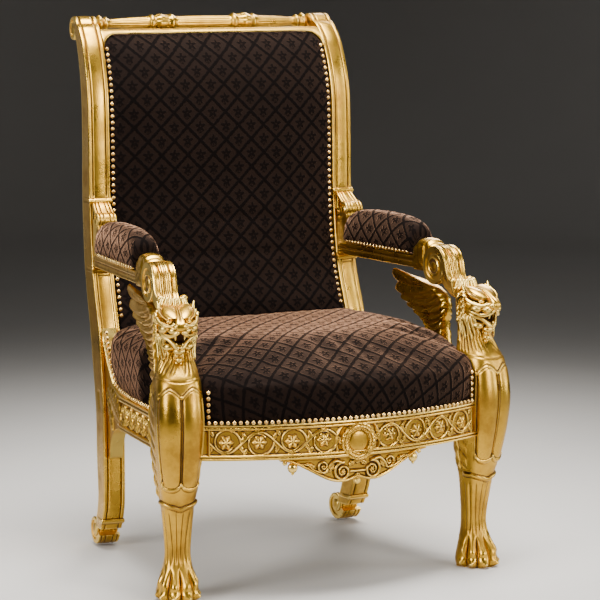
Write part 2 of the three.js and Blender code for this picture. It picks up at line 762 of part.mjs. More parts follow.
const seatCuts = [grownPost, bracket, wingRoom].flatMap((shape) => [
  solid(placed(shape, sideMatrix)),
  solid(placed(shape, sideMatrix, mirror)),
]);
const seat = seatCushion([legRight, legLeft, ...seatCuts]);
throne.add(
  rightHalf,
  leftHalf,
  meshOf(frontRail(bothLegs), "front_rail", gilt),
  meshOf(apron(), "apron", gilt),
  meshOf(medallion(), "wreath_medallion", gilt),
  meshOf(backRail(), "back_rail", gilt),
  meshOf(crestRail(), "crest_rail", gilt),
  meshOf(topRail(), "top_rail", gilt),
  meshOf(insideBack(), "inside_back", velvet),
  meshOf(outsideBack(), "outside_back", velvet),
  meshOf(seat, "seat_cushion", velvet),
);

const extent = new THREE.Box3().setFromObject(throne);
throne.position.y = -(extent.min.y + extent.max.y) / 2;
const root = new THREE.Group();
root.add(throne);

export default root;
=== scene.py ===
import math
import bpy
import numpy as np
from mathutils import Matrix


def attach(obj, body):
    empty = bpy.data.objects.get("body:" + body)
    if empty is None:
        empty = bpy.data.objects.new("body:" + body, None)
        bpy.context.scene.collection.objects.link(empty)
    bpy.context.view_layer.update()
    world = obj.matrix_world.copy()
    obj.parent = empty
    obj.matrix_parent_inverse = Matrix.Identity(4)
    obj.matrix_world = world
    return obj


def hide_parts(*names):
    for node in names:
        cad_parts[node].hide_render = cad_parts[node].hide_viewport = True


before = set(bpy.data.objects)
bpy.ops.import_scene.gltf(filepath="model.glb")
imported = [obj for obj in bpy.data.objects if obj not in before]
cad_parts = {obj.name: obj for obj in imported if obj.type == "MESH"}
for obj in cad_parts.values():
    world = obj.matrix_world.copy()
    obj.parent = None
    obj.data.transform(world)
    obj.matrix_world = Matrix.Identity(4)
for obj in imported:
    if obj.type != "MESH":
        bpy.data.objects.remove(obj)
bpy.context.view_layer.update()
scene = bpy.context.scene

# where the sides, legs and bowed front stand, in millimetres; shift centres the throne in its box
layout = dict(shift=6.17, splay=5.0, sideX=309.4, legX=336.0, legY=-266.0, legTurn=14.0,
              bowFront=-395.0, bowRadius=669.0, railBottom=282.0, railTop=353.0)


def smooth(low, high, x):
    # cubic step, 0 at low and 1 at high
    t = np.clip((x - low) / (high - low), 0, 1)
    return t * t * (3 - 2 * t)


def bell(x, middle, width):
    # bump of height one: e to the minus squared distance over width
    return np.exp(-((x - middle) / width) ** 2)


def ridges(x):
    # row of rounded ridges, one per unit of x, with sharp valleys
    return np.abs(np.sin(np.pi * x))


def dome(x):
    # half circle of height one: root of one minus the square
    return np.sqrt(np.clip(1 - x ** 2, 0, 1))


def circle(count):
    # even angles once round
    return np.linspace(0, 2 * math.pi, count, endpoint=False)


def joined(x, y, z):
    # three coordinates spread to one shape and set side by side
    return np.stack(np.broadcast_arrays(x, y, z), -1)


def sideWord(side):
    # the side as a viewer facing the throne names it
    return "right" if side > 0 else "left"


def through(rows, x):
    # cubic between neighbouring rows, its slope at each row taken from the rows either side
    table = np.asarray(rows, float)
    keys, values = table[:, 0], table[:, 1:]
    slope = np.empty_like(values)
    slope[1:-1] = (values[2:] - values[:-2]) / (keys[2:] - keys[:-2])[:, None]
    slope[0] = (values[1] - values[0]) / (keys[1] - keys[0])
    slope[-1] = (values[-1] - values[-2]) / (keys[-1] - keys[-2])
    x = np.clip(np.asarray(x, float), keys[0], keys[-1])
    i = np.clip(np.searchsorted(keys, x, side="right") - 1, 0, len(keys) - 2)
    h = (keys[i + 1] - keys[i])[..., None]
    t = (x - keys[i])[..., None] / h
    made = ((2 * t ** 3 - 3 * t ** 2 + 1) * values[i] + (t ** 3 - 2 * t ** 2 + t) * h * slope[i]
            + (3 * t ** 2 - 2 * t ** 3) * values[i + 1] + (t ** 3 - t ** 2) * h * slope[i + 1])
    return np.moveaxis(made, -1, 0)


def splineAt(points, v):
    # even cubic through the points, v running from 0 at the first to 1 at the last
    p = np.asarray(points, float)
    w = np.clip(np.asarray(v, float), 0, 1) * (len(p) - 1)
    i = np.minimum(w.astype(int), len(p) - 2)
    f = (w - i)[..., None]
    a, b, c, d = p[np.maximum(i - 1, 0)], p[i], p[i + 1], p[np.minimum(i + 2, len(p) - 1)]
    return 0.5 * (2 * b + (c - a) * f + (2 * a - 5 * b + 4 * c - d) * f ** 2 + (3 * b - a - 3 * c + d) * f ** 3)


def spans(*pieces):
    # levels from (start, end, count) runs, joined without repeats
    return np.unique(np.concatenate([np.linspace(a, b, n) for a, b, n in pieces]))


def fromSide(t, s, z, side):
    # across, along and up in the splayed side frame, turned and moved to the row frame
    turn = math.radians(layout["splay"])
    x = layout["sideX"] + t * math.cos(turn) - s * math.sin(turn)
    y = t * math.sin(turn) + s * math.cos(turn) + layout["shift"]
    return joined(side * x, y, z)


def fromLeg(across, along, z, side):
    # across and along in the turned leg frame, moved to the row frame
    turn = math.radians(layout["legTurn"])
    x = layout["legX"] + across * math.cos(turn) - along * math.sin(turn)
    y = layout["legY"] + across * math.sin(turn) + along * math.cos(turn) + layout["shift"]
    return joined(side * x, y, z)


def fromBow(a, proud, z):
    # length along the bow and height proud of it: a circle about a point behind the front
    radius = layout["bowRadius"]
    x = (radius + proud) * np.sin(a / radius)
    y = layout["bowFront"] + radius - (radius + proud) * np.cos(a / radius) + layout["shift"]
    return joined(x, y, z)


def sixVolume(points, faces):
    # six times the volume inside the faces, below zero where they are turned inwards
    corner = points[faces]
    return sum(np.einsum("ij,ij->i", corner[:, 0], np.cross(corner[:, k], corner[:, k + 1])).sum()
               for k in range(1, faces.shape[1] - 1))


def ringShell(rings):
    # closed skin over a stack of rings: four-sided faces between rings, each end fanned to its middle
    n, m = rings.shape[:2]
    index = np.arange(n * m).reshape(n, m)
    low, high = index[:-1], index[1:]
    quads = np.stack([low, np.roll(low, -1, 1), np.roll(high, -1, 1), high], -1).reshape(-1, 4)
    points = np.concatenate([rings.reshape(-1, 3), rings[:1].mean(1), rings[-1:].mean(1)])
    first = np.stack([np.roll(index[0], -1), index[0], np.full(m, n * m)], -1)
    last = np.stack([index[-1], np.roll(index[-1], -1), np.full(m, n * m + 1)], -1)
    tris = np.concatenate([first, last])
    if sixVolume(points, quads) + sixVolume(points, tris) < 0:
        quads, tris = quads[:, ::-1], tris[:, ::-1]
    return points, quads, tris


def lathe(profile, place, around=40):
    # rings of each profile radius at its height, place turning across, along and height into points
    angle = circle(around)
    table = np.asarray(profile, float)
    radius, height = table[:, :1], table[:, 1:2]
    return ringShell(place(radius * np.cos(angle), radius * np.sin(angle), height + 0 * angle))


def ball(radius, place, squash=(1, 1, 1), steps=10, around=14):
    # rings of a sphere stretched along its three axes
    polar = np.linspace(0.12, math.pi - 0.12, steps)[:, None]
    angle = circle(around)
    return ringShell(place(radius * squash[0] * np.sin(polar) * np.cos(angle),
                           radius * squash[1] * np.sin(polar) * np.sin(angle),
                           radius * squash[2] * np.cos(polar) + 0 * angle))


def strand(points, start, end, place, steps=20, around=10):
    # tapered tube along an even cubic: rings of two normals about each point, rounded at both ends
    share = np.linspace(0, 1, steps)
    line = splineAt(points, share)
    step = np.gradient(line, axis=0)
    step /= np.linalg.norm(step, axis=1)[:, None]
    one = np.cross(step, (0.31, 0.27, 0.91))
    one /= np.linalg.norm(one, axis=1)[:, None]
    two = np.cross(step, one)
    blunt = np.sqrt(np.clip(share / 0.12, 0.01, 1)) * np.sqrt(np.clip((1 - share) / 0.12, 0.01, 1))
    radius = ((start + (end - start) * share) * blunt)[:, None, None]
    angle = circle(around)[None, :, None]
    around = np.cos(angle) * one[:, None] + np.sin(angle) * two[:, None]
    return ringShell(place(line[:, None] + radius * around))


def makeMesh(name, shells, weave=None, shade=None):
    # one mesh from several shells, millimetres to metres, weave and shade kept as attributes of the points
    points, quads, tris, base = [], [], [], 0
    for p, q, t in shells:
        points.append(p)
        quads.append(q + base)
        tris.append(t + base)
        base += len(p)
    points, quads, tris = np.concatenate(points), np.concatenate(quads), np.concatenate(tris)
    mesh = bpy.data.meshes.new(name)
    mesh.vertices.add(len(points))
    mesh.vertices.foreach_set("co", (points * 0.001).astype(np.float32).ravel())
    corners = np.concatenate([quads.ravel(), tris.ravel()]).astype(np.int32)
    mesh.loops.add(len(corners))
    mesh.loops.foreach_set("vertex_index", corners)
    starts = np.concatenate([np.arange(len(quads)) * 4, len(quads) * 4 + np.arange(len(tris)) * 3])
    mesh.polygons.add(len(starts))
    mesh.polygons.foreach_set("loop_start", starts.astype(np.int32))
    mesh.polygons.foreach_set("use_smooth", np.ones(len(starts), bool))
    mesh.update(calc_edges=True)
    mesh.validate()
    if weave is not None:
        layer = mesh.attributes.new("weave", "FLOAT_VECTOR", "POINT")
        layer.data.foreach_set("vector", (np.asarray(weave) * 0.001).astype(np.float32).ravel())
    if shade is not None:
        deep = np.zeros(len(points), np.float32)
        deep[:np.size(shade)] = np.ravel(shade)
        mesh.attributes.new("shade", "FLOAT", "POINT").data.foreach_set("value", deep)
    return mesh


def makePiece(name, shells, nodes, material, sharp=40, weave=None, shade=None):
    # the mesh as an object that rides on the throne in place of the CAD nodes it stands for
    mesh = makeMesh(name, shells, weave, shade)
    mesh.set_sharp_from_angle(angle=math.radians(sharp))
    mesh.materials.append(material)
    piece = bpy.data.objects.new(name, mesh)
    scene.collection.objects.link(piece)
    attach(piece, "root")
    if nodes:
        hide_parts(*nodes)
    return piece


def addNode(tree, kind, inputs=None, **settings):
    # one shader node, its inputs set to numbers or linked to other outputs
    made = tree.nodes.new(kind)
    for key, value in settings.items():
        setattr(made, key, value)
    for key, value in (inputs or {}).items():
        if isinstance(value, bpy.types.NodeSocket):
            tree.links.new(value, made.inputs[key])
        else:
            made.inputs[key].default_value = value
    return made


def sums(tree, operation, *values):
    # one arithmetic step on numbers or outputs
    return addNode(tree, "ShaderNodeMath", dict(enumerate(values)), operation=operation).outputs[0]


def between(tree, share, low, high):
    # colour from low to high by share
    made = addNode(tree, "ShaderNodeMix", {0: share, 6: low, 7: high}, data_type="RGBA")
    return made.outputs[2]


def spread(tree, value, low, high, start=0.0, end=1.0):
    # value carried from low..high to start..end, held at the ends
    made = addNode(tree, "ShaderNodeMapRange", {0: value, 1: low, 2: high, 3: start, 4: end},
                   interpolation_type="SMOOTHSTEP")
    return made.outputs[0]


def newMaterial(name):
    # empty principled material, its tree and its shader
    material = bpy.data.materials.new(name)
    material.use_nodes = True
    return material, material.node_tree, material.node_tree.nodes["Principled BSDF"]


goldLook = dict(leaf=(0.60, 0.345, 0.036, 1), pale=(0.86, 0.60, 0.14, 1), boleAndShade=(0.06, 0.022, 0.005, 1),
                worn=(0.35, 0.18, 0.02, 1), smoothest=0.24, roughest=0.46)


def giltMaterial(look):
    # gold leaf: paler on convex edges, partly rubbed burnish and partly painted highlight; red-brown clay showing
    # in hollows and wherever the shade attribute is set, made dark as painted shade; cloudy wear and a fine
    # uneven ground
    material, tree, shader = newMaterial("gilt_leaf")
    place = addNode(tree, "ShaderNodeTexCoord").outputs["Object"]
    cloud = addNode(tree, "ShaderNodeTexNoise", {"Vector": place, "Scale": 14.0, "Detail": 6.0,
                                                 "Roughness": 0.62})
    grain = addNode(tree, "ShaderNodeTexNoise", {"Vector": place, "Scale": 420.0, "Detail": 3.0})
    hand = addNode(tree, "ShaderNodeTexNoise", {"Vector": place, "Scale": 70.0, "Detail": 3.0})
    point = addNode(tree, "ShaderNodeNewGeometry").outputs["Pointiness"]
    point = sums(tree, "ADD", point, sums(tree, "MULTIPLY", sums(tree, "SUBTRACT", hand.outputs[0], 0.5), 0.03))
    # painted shade: the shade attribute and hollows found by pointiness both take the dark clay colour, rougher
    # and less metallic
    shade = addNode(tree, "ShaderNodeAttribute", attribute_name="shade").outputs["Fac"]
    hollowShade = sums(tree, "MAXIMUM", spread(tree, point, 0.496, 0.455), shade)
    # painted highlight, partly burnish: convex edges found by pointiness turn to the pale gold
    edge = spread(tree, point, 0.515, 0.56)
    patch = spread(tree, cloud.outputs[0], 0.42, 0.72)
    colour = between(tree, patch, look["leaf"], look["worn"])
    colour = between(tree, edge, colour, look["pale"])
    colour = between(tree, hollowShade, colour, look["boleAndShade"])
    rough = spread(tree, cloud.outputs[0], 0.3, 0.75, look["smoothest"], look["roughest"])
    rough = sums(tree, "ADD", rough, sums(tree, "MULTIPLY", hollowShade, 0.25))
    metal = spread(tree, hollowShade, 0.0, 1.0, 1.0, 0.45)
    height = sums(tree, "ADD", sums(tree, "MULTIPLY", grain.outputs[0], 0.35), hand.outputs[0])
    bump = addNode(tree, "ShaderNodeBump", {"Height": height, "Strength": 0.22, "Distance": 0.0015})
    for socket, value in (("Base Color", colour), ("Roughness", rough), ("Metallic", metal),
                          ("Normal", bump.outputs[0])):
        tree.links.new(value, shader.inputs[socket])
    return material


nailLook = dict(bright=(0.90, 0.62, 0.22, 1), dull=(0.42, 0.24, 0.07, 1))


def brassMaterial(look):
    # brass heads, dulled in patches
    material, tree, shader = newMaterial("brass_nail")
    place = addNode(tree, "ShaderNodeTexCoord").outputs["Object"]
    cloud = addNode(tree, "ShaderNodeTexNoise", {"Vector": place, "Scale": 60.0, "Detail": 4.0})
    share = spread(tree, cloud.outputs[0], 0.35, 0.7)
    tree.links.new(between(tree, share, look["bright"], look["dull"]), shader.inputs["Base Color"])
    tree.links.new(spread(tree, cloud.outputs[0], 0.3, 0.7, 0.18, 0.4), shader.inputs["Roughness"])
    shader.inputs["Metallic"].default_value = 1.0
    return material


velvetLook = dict(pitch=0.060, line=0.075, ground=(0.0045, 0.0018, 0.0011, 1),
                  rubbed=(0.003, 0.0012, 0.0008, 1), pile=(0.0014, 0.0006, 0.0005, 1), sheen=0.9,
                  pressed=0.12, sheenTint=(1.0, 0.55, 0.33, 1), sheenRough=0.34, gloss=0.06)


def velvetMaterial(look):
    # cut velvet: diamond lattice and a five-lobed sprig in dark pile on a paler flat ground
    material, tree, shader = newMaterial("cut_velvet")
    weave = addNode(tree, "ShaderNodeAttribute", attribute_name="weave").outputs["Vector"]
    fuzz = addNode(tree, "ShaderNodeTexNoise", {"Vector": weave, "Scale": 900.0, "Detail": 2.0})
    wander = addNode(tree, "ShaderNodeTexNoise", {"Vector": weave, "Scale": 150.0, "Detail": 3.0})
    cloud = addNode(tree, "ShaderNodeTexNoise", {"Vector": weave, "Scale": 11.0, "Detail": 4.0})
    axes = addNode(tree, "ShaderNodeSeparateXYZ", {0: weave})
    across = sums(tree, "DIVIDE", axes.outputs[0], look["pitch"])
    along = sums(tree, "DIVIDE", axes.outputs[1], look["pitch"])
    shake = sums(tree, "MULTIPLY", sums(tree, "SUBTRACT", wander.outputs[0], 0.5), 0.13)
    one = sums(tree, "FRACT", sums(tree, "ADD", sums(tree, "ADD", across, along), shake))
    two = sums(tree, "FRACT", sums(tree, "ADD", sums(tree, "SUBTRACT", across, along), shake))
    one, two = sums(tree, "SUBTRACT", one, 0.5), sums(tree, "SUBTRACT", two, 0.5)
    far = sums(tree, "MAXIMUM", sums(tree, "ABSOLUTE", one), sums(tree, "ABSOLUTE", two))
    lattice = spread(tree, far, 0.5 - look["line"] * 1.4, 0.5 - look["line"] * 0.7)
    lx = sums(tree, "ADD", one, two)
    ly = sums(tree, "SUBTRACT", one, two)
    radius = sums(tree, "SQRT", sums(tree, "ADD", sums(tree, "MULTIPLY", lx, lx), sums(tree, "MULTIPLY", ly, ly)))
    lobe = sums(tree, "COSINE", sums(tree, "MULTIPLY", sums(tree, "ARCTAN2", lx, ly), 5.0))
    petal = sums(tree, "MULTIPLY_ADD", lobe, 0.11, 0.29)
    flower = spread(tree, sums(tree, "SUBTRACT", radius, petal), 0.035, -0.015)
    heart = spread(tree, radius, 0.075, 0.045)
    stem = sums(tree, "MULTIPLY", spread(tree, sums(tree, "ABSOLUTE", lx), 0.05, 0.02),
                sums(tree, "MULTIPLY", spread(tree, ly, 0.0, -0.08), spread(tree, ly, -0.52, -0.44)))
    leaves = spread(tree, sums(tree, "ABSOLUTE", sums(tree, "SUBTRACT", sums(tree, "ABSOLUTE", lx),
                                                      sums(tree, "MULTIPLY_ADD", ly, 0.8, 0.42))), 0.05, 0.02)
    leaves = sums(tree, "MULTIPLY", leaves, sums(tree, "MULTIPLY", spread(tree, ly, -0.2, -0.26),
                                                 spread(tree, ly, -0.52, -0.46)))
    motif = sums(tree, "MAXIMUM", sums(tree, "SUBTRACT", flower, sums(tree, "MULTIPLY", heart, 0.7)),
                 sums(tree, "MAXIMUM", stem, leaves))
    mask = sums(tree, "MAXIMUM", lattice, sums(tree, "MULTIPLY", motif, 0.85))
    mask = sums(tree, "MULTIPLY", mask, spread(tree, fuzz.outputs[0], 0.2, 0.5, 0.75, 1.0))
    mask = sums(tree, "MINIMUM", mask, 1.0)
    rubbed = between(tree, spread(tree, cloud.outputs[0], 0.35, 0.75), look["ground"], look["rubbed"])
    colour = between(tree, mask, rubbed, look["pile"])
    height = sums(tree, "MULTIPLY_ADD", fuzz.outputs[0], 0.4, mask)
    bump = addNode(tree, "ShaderNodeBump", {"Height": height, "Strength": 0.5, "Distance": 0.0012})
    tree.links.new(colour, shader.inputs["Base Color"])
    tree.links.new(spread(tree, mask, 0, 1, 0.82, 0.95), shader.inputs["Roughness"])
    tree.links.new(bump.outputs[0], shader.inputs["Normal"])
    tree.links.new(spread(tree, mask, 0, 1, look["sheen"], look["pressed"]), shader.inputs["Sheen Weight"])
    shader.inputs["Sheen Tint"].default_value = look["sheenTint"]
    shader.inputs["Sheen Roughness"].default_value = look["sheenRough"]
    shader.inputs["Specular IOR Level"].default_value = look["gloss"]
    return material


gilt, velvet, brass = giltMaterial(goldLook), velvetMaterial(velvetLook), brassMaterial(nailLook)
print("materials ready")


def carved(name, node, shells, sharp=40, shade=None):
    # gilded piece in place of one CAD node
    return makePiece(name, shells, [node], gilt, sharp, None, shade)


def strokeHeight(across, up, line, width, height):
    # half-round ridge along a line: height times the root of one minus squared distance over width
    made = np.zeros_like(across)
    width = np.broadcast_to(np.asarray(width, float), (len(line),))
    most = width.max()
    near = ((across > line[:, 0].min() - most) & (across < line[:, 0].max() + most)
            & (up > line[:, 1].min() - most) & (up < line[:, 1].max() + most))
    points = np.stack([across[near], up[near]], -1)
    if len(points):
        gap = np.hypot(points[:, None, 0] - line[None, :, 0], points[:, None, 1] - line[None, :, 1])
        made[near] = height * dome((gap / width).min(1))
    return made


def spiralLine(centre, start, end, first, last, count=70):
    # points whose radius shrinks evenly from start to end as the angle runs from first to last degrees
    share = np.linspace(0, 1, count)
    angle = np.radians(first + (last - first) * share)
    radius = start + (end - start) * share
    return np.stack([centre[0] + radius * np.cos(angle), centre[1] + radius * np.sin(angle)], -1)


def leafHeight(across, up, root, bearing, length, width, height, lobes=3):
    # lobed leaf: half width swells as a sine and is notched along its length, with a sunk midrib
    turn = math.radians(bearing)
    dx, dz = across - root[0], up - root[1]
    u = (dx * math.cos(turn) + dz * math.sin(turn)) / length
    w = -dx * math.sin(turn) + dz * math.cos(turn)
    inside = np.clip(u, 0.001, 0.999)
    half = width * np.sin(np.pi * inside ** 0.85) ** 0.7 * (0.72 + 0.28 * ridges(inside * lobes)) + 0.01
    body = dome(w / half) * (u > 0) * (u < 1)
    vein = 0.25 * bell(w, 0, width * 0.09) + 0.14 * (1 - ridges(inside * lobes * 2 + np.abs(w) / width))
    return height * np.clip(body - vein * body, 0, 1)


def rosetteHeight(across, up, centre, radius, height, petals=6):
    # petals as a cosine in the radius about a raised button
    dx, dz = across - centre[0], up - centre[1]
    far, angle = np.hypot(dx, dz), np.arctan2(dz, dx)
    edge = radius * (0.92 + 0.12 * np.cos(petals * angle))
    cup = dome(far / edge) * (0.8 + 0.2 * np.cos(petals * angle))
    return np.maximum(height * cup, 1.15 * height * dome(far / (0.36 * radius)))


railLook = dict(reach=350.0, ground=-5.5, first=73.0, pitch=66.0, rosettes=4, middle=317.5, vine=2.6)


def railRelief(a, z, look):
    # tallest of vine, spirals, leaves and rosettes in each cell, over a sunk ground between edge mouldings
    made = np.zeros_like(a)
    mid, pitch = look["middle"], look["pitch"]
    for side in (-1, 1):
        for i in range(look["rosettes"]):
            centre = look["first"] + pitch * i
            flip = 1 if i % 2 == 0 else -1
            along, up = side * a - centre, flip * (z - mid)
            cell = np.abs(along) < pitch * 0.75
            al, u = np.where(cell, along, 999.0), np.where(cell, up, 999.0)
            wave = np.stack([np.linspace(-pitch / 2, pitch / 2, 60),
                             21.0 * np.cos(np.pi * np.linspace(-0.5, 0.5, 60))], -1)
            ring = spiralLine((0, 0), 29, 15.5, 183, 500, 90)
            parts = [strokeHeight(al, u, wave, look["vine"], 4.6),
                     strokeHeight(al, u, ring, np.linspace(2.6, 1.9, 90), 4.6),
                     rosetteHeight(al, u, (0, 0), 15.0, 6.6)]
            for root, bearing, size in (((-27, 4), 115, 17), ((-30, -3), 222, 15), ((27, 6), 66, 17),
                                        ((24, -13), -58, 15), ((-8, -23), 200, 13), ((9, 22), 160, 11)):
                parts.append(leafHeight(al, u, root, bearing, size, 5.2, 4.2))
            made = np.maximum(made, np.max(parts, axis=0))
    far = np.hypot(a, z - wreathLook["z"])
    made = np.maximum(made, 5.2 * bell(far, 47.5, 2.6))
    made = np.maximum(made, 5.2 * bell(np.abs(a), 304, 3))
    ground = look["ground"]
    made = ground + np.minimum(made, 7.2)
    edge = np.maximum(smooth(340.5, 343, z), smooth(294.5, 292, z))
    mould = (0.9 * bell(z, 345.2, 1.7) + 1.0 * bell(z, 351, 2.0) - 1.6 * bell(z, 348.2, 1.0)
             + 0.9 * bell(z, 290, 1.7) + 1.0 * bell(z, 284.5, 2.2) - 1.6 * bell(z, 287, 1.0))
    return np.maximum(made, ground - edge * ground) + edge * mould


def frontRail():
    # carved face swept along the bow, closed behind by a plain back
    look, low, high = railLook, layout["railBottom"] + 0.4, layout["railTop"] - 0.4
    a = np.linspace(-look["reach"], look["reach"], 720)[:, None]
    z = np.linspace(low, high, 62)[None, :]
    proud = railRelief(a + 0 * z, z + 0 * a, look)
    face = fromBow(a, proud, z)
    back = np.stack([fromBow(a[:, 0], d, zz) for d, zz in
                     ((-6, high), (-27, high), (-27, (low + high) / 2), (-27, low), (-6, low))], 1)
    return carved("front_rail_carved", "front_rail", [ringShell(np.concatenate([face, back], 1))])


apronLook = dict(half=163.0, drop=48.0, ground=-9.0)


def apronEdge(a, look):
    # lower edge: rises from the middle towards the ends, with a small point at the centre
    share = np.abs(a) / look["half"]
    return 277 - look["drop"] * (1 - smooth(0.22, 1, share) - 0.14 * bell(share, 0, 0.1))


def apron():
    # carved drop under the rail: scrolls, leaves and an edge moulding on a ground that follows the bow
    look = apronLook
    a = np.linspace(-look["half"], look["half"], 360)[:, None]
    v = np.linspace(0, 1, 46)[None, :]
    low, high = apronEdge(a, look), layout["railBottom"] - 0.4
    z = low + (high - low) * v
    along = np.abs(a) + 0 * v
    run = np.linspace(0, 1, 50)
    curls = [(spiralLine((33, 250), 19, 3, 95, -560, 120), np.linspace(3.4, 1.8, 120), 6.5),
             (spiralLine((74, 263), 13, 2, 235, 760, 90), np.linspace(2.8, 1.6, 90), 5.5),
             (splineAt([(34, 269), (50, 272), (62, 262), (67, 253)], run), 3.2, 6),
             (splineAt([(80, 251), (96, 258), (108, 268), (126, 270)], run), np.linspace(3, 1.6, 50), 5.5),
             (np.array([(x, 250.0) for x in np.linspace(0, 16, 20)]), 3.2, 5.5)]
    parts = [strokeHeight(along, z, line, width, height) for line, width, height in curls]
    parts += [rosetteHeight(along, z, (33, 250), 7.5, 7.5), rosetteHeight(along, z, (74, 263), 5.0, 6.5)]
    for root, bearing, size, width in (((92, 262), 25, 22, 6), ((104, 262), -8, 26, 6), ((50, 258), 12, 18, 5),
                                       ((20, 262), 150, 18, 6), ((0, 264), 90, 16, 8), ((52, 268), -60, 20, 5),
                                       ((0, 246), -90, 24, 9), ((14, 236), -160, 14, 5)):
        parts.append(leafHeight(along, z, root, bearing, size, width, 5.6))
    relief = np.max(parts, axis=0)
    gap = z - low
    rim = 6.0 * dome((gap - 3.2) / 3.4)
    proud = look["ground"] + np.maximum(relief, rim) + 3.0 * smooth(276, 280, z)
    face = fromBow(a + 0 * v, proud, z)
    back = np.stack([fromBow(a[:, 0], d, level) for d, level in
                     ((-12, high), (-22, high), (-22, low[:, 0]), (-12, low[:, 0]))], 1)
    shells = [ringShell(np.concatenate([face, back], 1))]
    for side in (-1, 1):
        for radius, a0, drop in ((10.5, 137, 263.0), (5.0, 137, 275.0), (5.0, 153, 273.0), (3.6, 137, 252.0)):
            shells.append(ball(radius, lambda x, y, zz: fromBow(side * a0 + x, y - 11, drop + zz), (1, 0.8, 1)))
        shells.append(ball(12, lambda x, y, zz: fromBow(side * 33 + x, y - 8, 250 + zz), (0.3, 0.5, 0.3)))
    drop = [(0.5, 0), (4, 1.5), (7, 5), (8, 9), (6, 13), (3.5, 16), (5.5, 18), (5.5, 20), (3.4, 22)]
    shells.append(lathe(drop, lambda x, y, h: fromBow(x, y - 10, 221.5 + h), 24))
    return carved("apron_carved", "apron", shells)


wreathLook = dict(ring=30.0, tube=7.6, leaves=15, z=310.0, boss=21.5)


def wreath():
    # laurel ring: three rows of overlapping leaves round a tube, about a flat boss
    look = wreathLook
    phi = circle(300)[:, None]
    psi = circle(48)[None, :]
    half = np.abs(((phi + math.pi / 2) % (2 * math.pi)) - math.pi) / math.pi
    row = psi / (2 * math.pi) * 6
    run = half * look["leaves"] + 0.5 * np.floor(row) + 0.55 * np.abs(row % 1 - 0.5) * 2
    leaf = run % 1
    lift = dome(2 * (row % 1) - 1) * (0.35 + 0.65 * (1 - leaf)) ** 0.8
    ribbon = sum(bell((phi - c + math.pi) % (2 * math.pi) - math.pi, 0, 0.1) for c in (0.62, 2.52, 3.76, 5.66))
    tube = look["tube"] * (0.66 + 0.46 * lift * (1 - ribbon) + 0.3 * ribbon)
    radius = look["ring"] + tube * np.cos(psi)
    proud = -1.0 + tube * np.sin(psi) * 0.95
    ring = fromBow(radius * np.cos(phi), proud, look["z"] + radius * np.sin(phi))
    index = np.arange(300 * 48).reshape(300, 48)
    turned = np.roll(index, -1, 0)
    quads = np.stack([index, turned, np.roll(turned, -1, 1), np.roll(index, -1, 1)], -1).reshape(-1, 4)
    if sixVolume(ring.reshape(-1, 3), quads) < 0:
        quads = quads[:, ::-1]
    shells = [(ring.reshape(-1, 3), quads, np.zeros((0, 3), int))]
    edge = look["boss"]
    boss = [(25, -9), (25, -3), (edge + 2, -1.5), (edge + 1, -0.4), (edge, -1.2), (edge - 1, -0.2),
            (17, 1.0), (11, 1.8), (5, 2.1), (1, 2.2)]
    shells.append(lathe(boss, lambda x, y, h: fromBow(x, h, look["z"] + y), 72))
    return carved("wreath_carved", "wreath_medallion", shells)


print("front", [len(p.data.polygons) for p in (frontRail(), apron(), wreath())])

legLook = dict(
    rows=[(0, 40, 50, 28), (16, 43, 55, 30), (45, 36, 41, 29), (80, 26, 21, 28), (115, 26, 20, 27),
          (180, 32, 34, 28), (245, 42, 53, 33), (310, 49, 67, 38), (365, 51, 72, 39), (425, 47, 62, 38),
          (446, 43, 54, 36), (464, 37, 40, 34), (482, 32, 26, 33), (500, 32, 21, 35), (512, 33, 21, 36),
          (526, 35, 26, 37), (540, 37, 33, 38), (552, 37, 35, 38), (561, 36, 34, 38), (569, 33, 31, 36),
          (576, 28, 25, 33), (582, 20, 15, 27)],
    tilt=0.4)

# the lion's face about the leg's axis: across, ahead and height of each form,
# mirrored where it stands off the middle
headLook = dict(
    outer=[(32, -6, 585), (36.5, 6, 577), (36, 20, 569), (25, 35, 561)],
    inner=[(3.5, -10, 582), (4, 14, 579), (4.5, 31, 572.5), (7, 43, 565)],
    bridge=[(-12, 579, 4), (14, 577, 4.2), (31, 571, 5), (44, 564.5, 7), (53, 559, 9.5),
            (59.5, 553, 10.5), (60, 547, 9.5), (54, 541, 7)],
    lobes=[(18.5, 34, 557, 6.5, 6, 5), (8, 54, 549.5, 6.5, 8, 5.5), (11.5, 44, 541.5, 12, 13, 8.5),
           (27, 26, 543, 12, 15, 10), (0, 35, 499, 12.5, 11, 8), (0, 30, 510.5, 9, 12, 4),
           (18, 22, 507, 13, 15, 10), (0, 31, 481, 7, 8, 7), (23, -45, 592.5, 8, 8, 6.5)],
    strands=[(((9, 53, 554), (19, 45, 549.5), (30, 35, 550), (37, 21, 556), (40, 5, 565)), 3.4, 3.6),
             (((2, 56, 541), (9, 53, 535.5), (17, 46, 530.5), (27, 35, 531), (37, 17, 539)), 4.8, 3.4),
             (((0, 46, 506.5), (7, 45, 508), (12, 42, 514.5), (20, 36, 522), (29, 27, 526), (36, 15, 533)),
              5.0, 3.0),
             (((10, 43, 555), (18, 41, 550.5), (27, 33.5, 552.5), (34, 23, 557)), 1.9, 1.9),
             (((9, 49, 537), (9.2, 49.5, 529), (8.6, 47, 521.5)), 3.4, 0.7),
             (((5.5, 43, 508), (6, 44.5, 512), (6, 43.5, 516.5)), 2.6, 0.7),
             (((4, 36, 494), (4.5, 30, 487), (4, 27, 479), (3, 31, 470)), 4.6, 3.2),
             (((38, -14, 550), (42, -8, 562), (42, 4, 569), (39, 13, 564)), 4.0, 3.0),
             (((31, 2, 572), (34, -1, 582), (36.5, -6, 593)), 7.0, 0.6),
             (((23, -45, 592), (25, -44, 581), (24, -41, 565)), 8.0, 1.5)],
    curls=5, beard=7, collar=9)


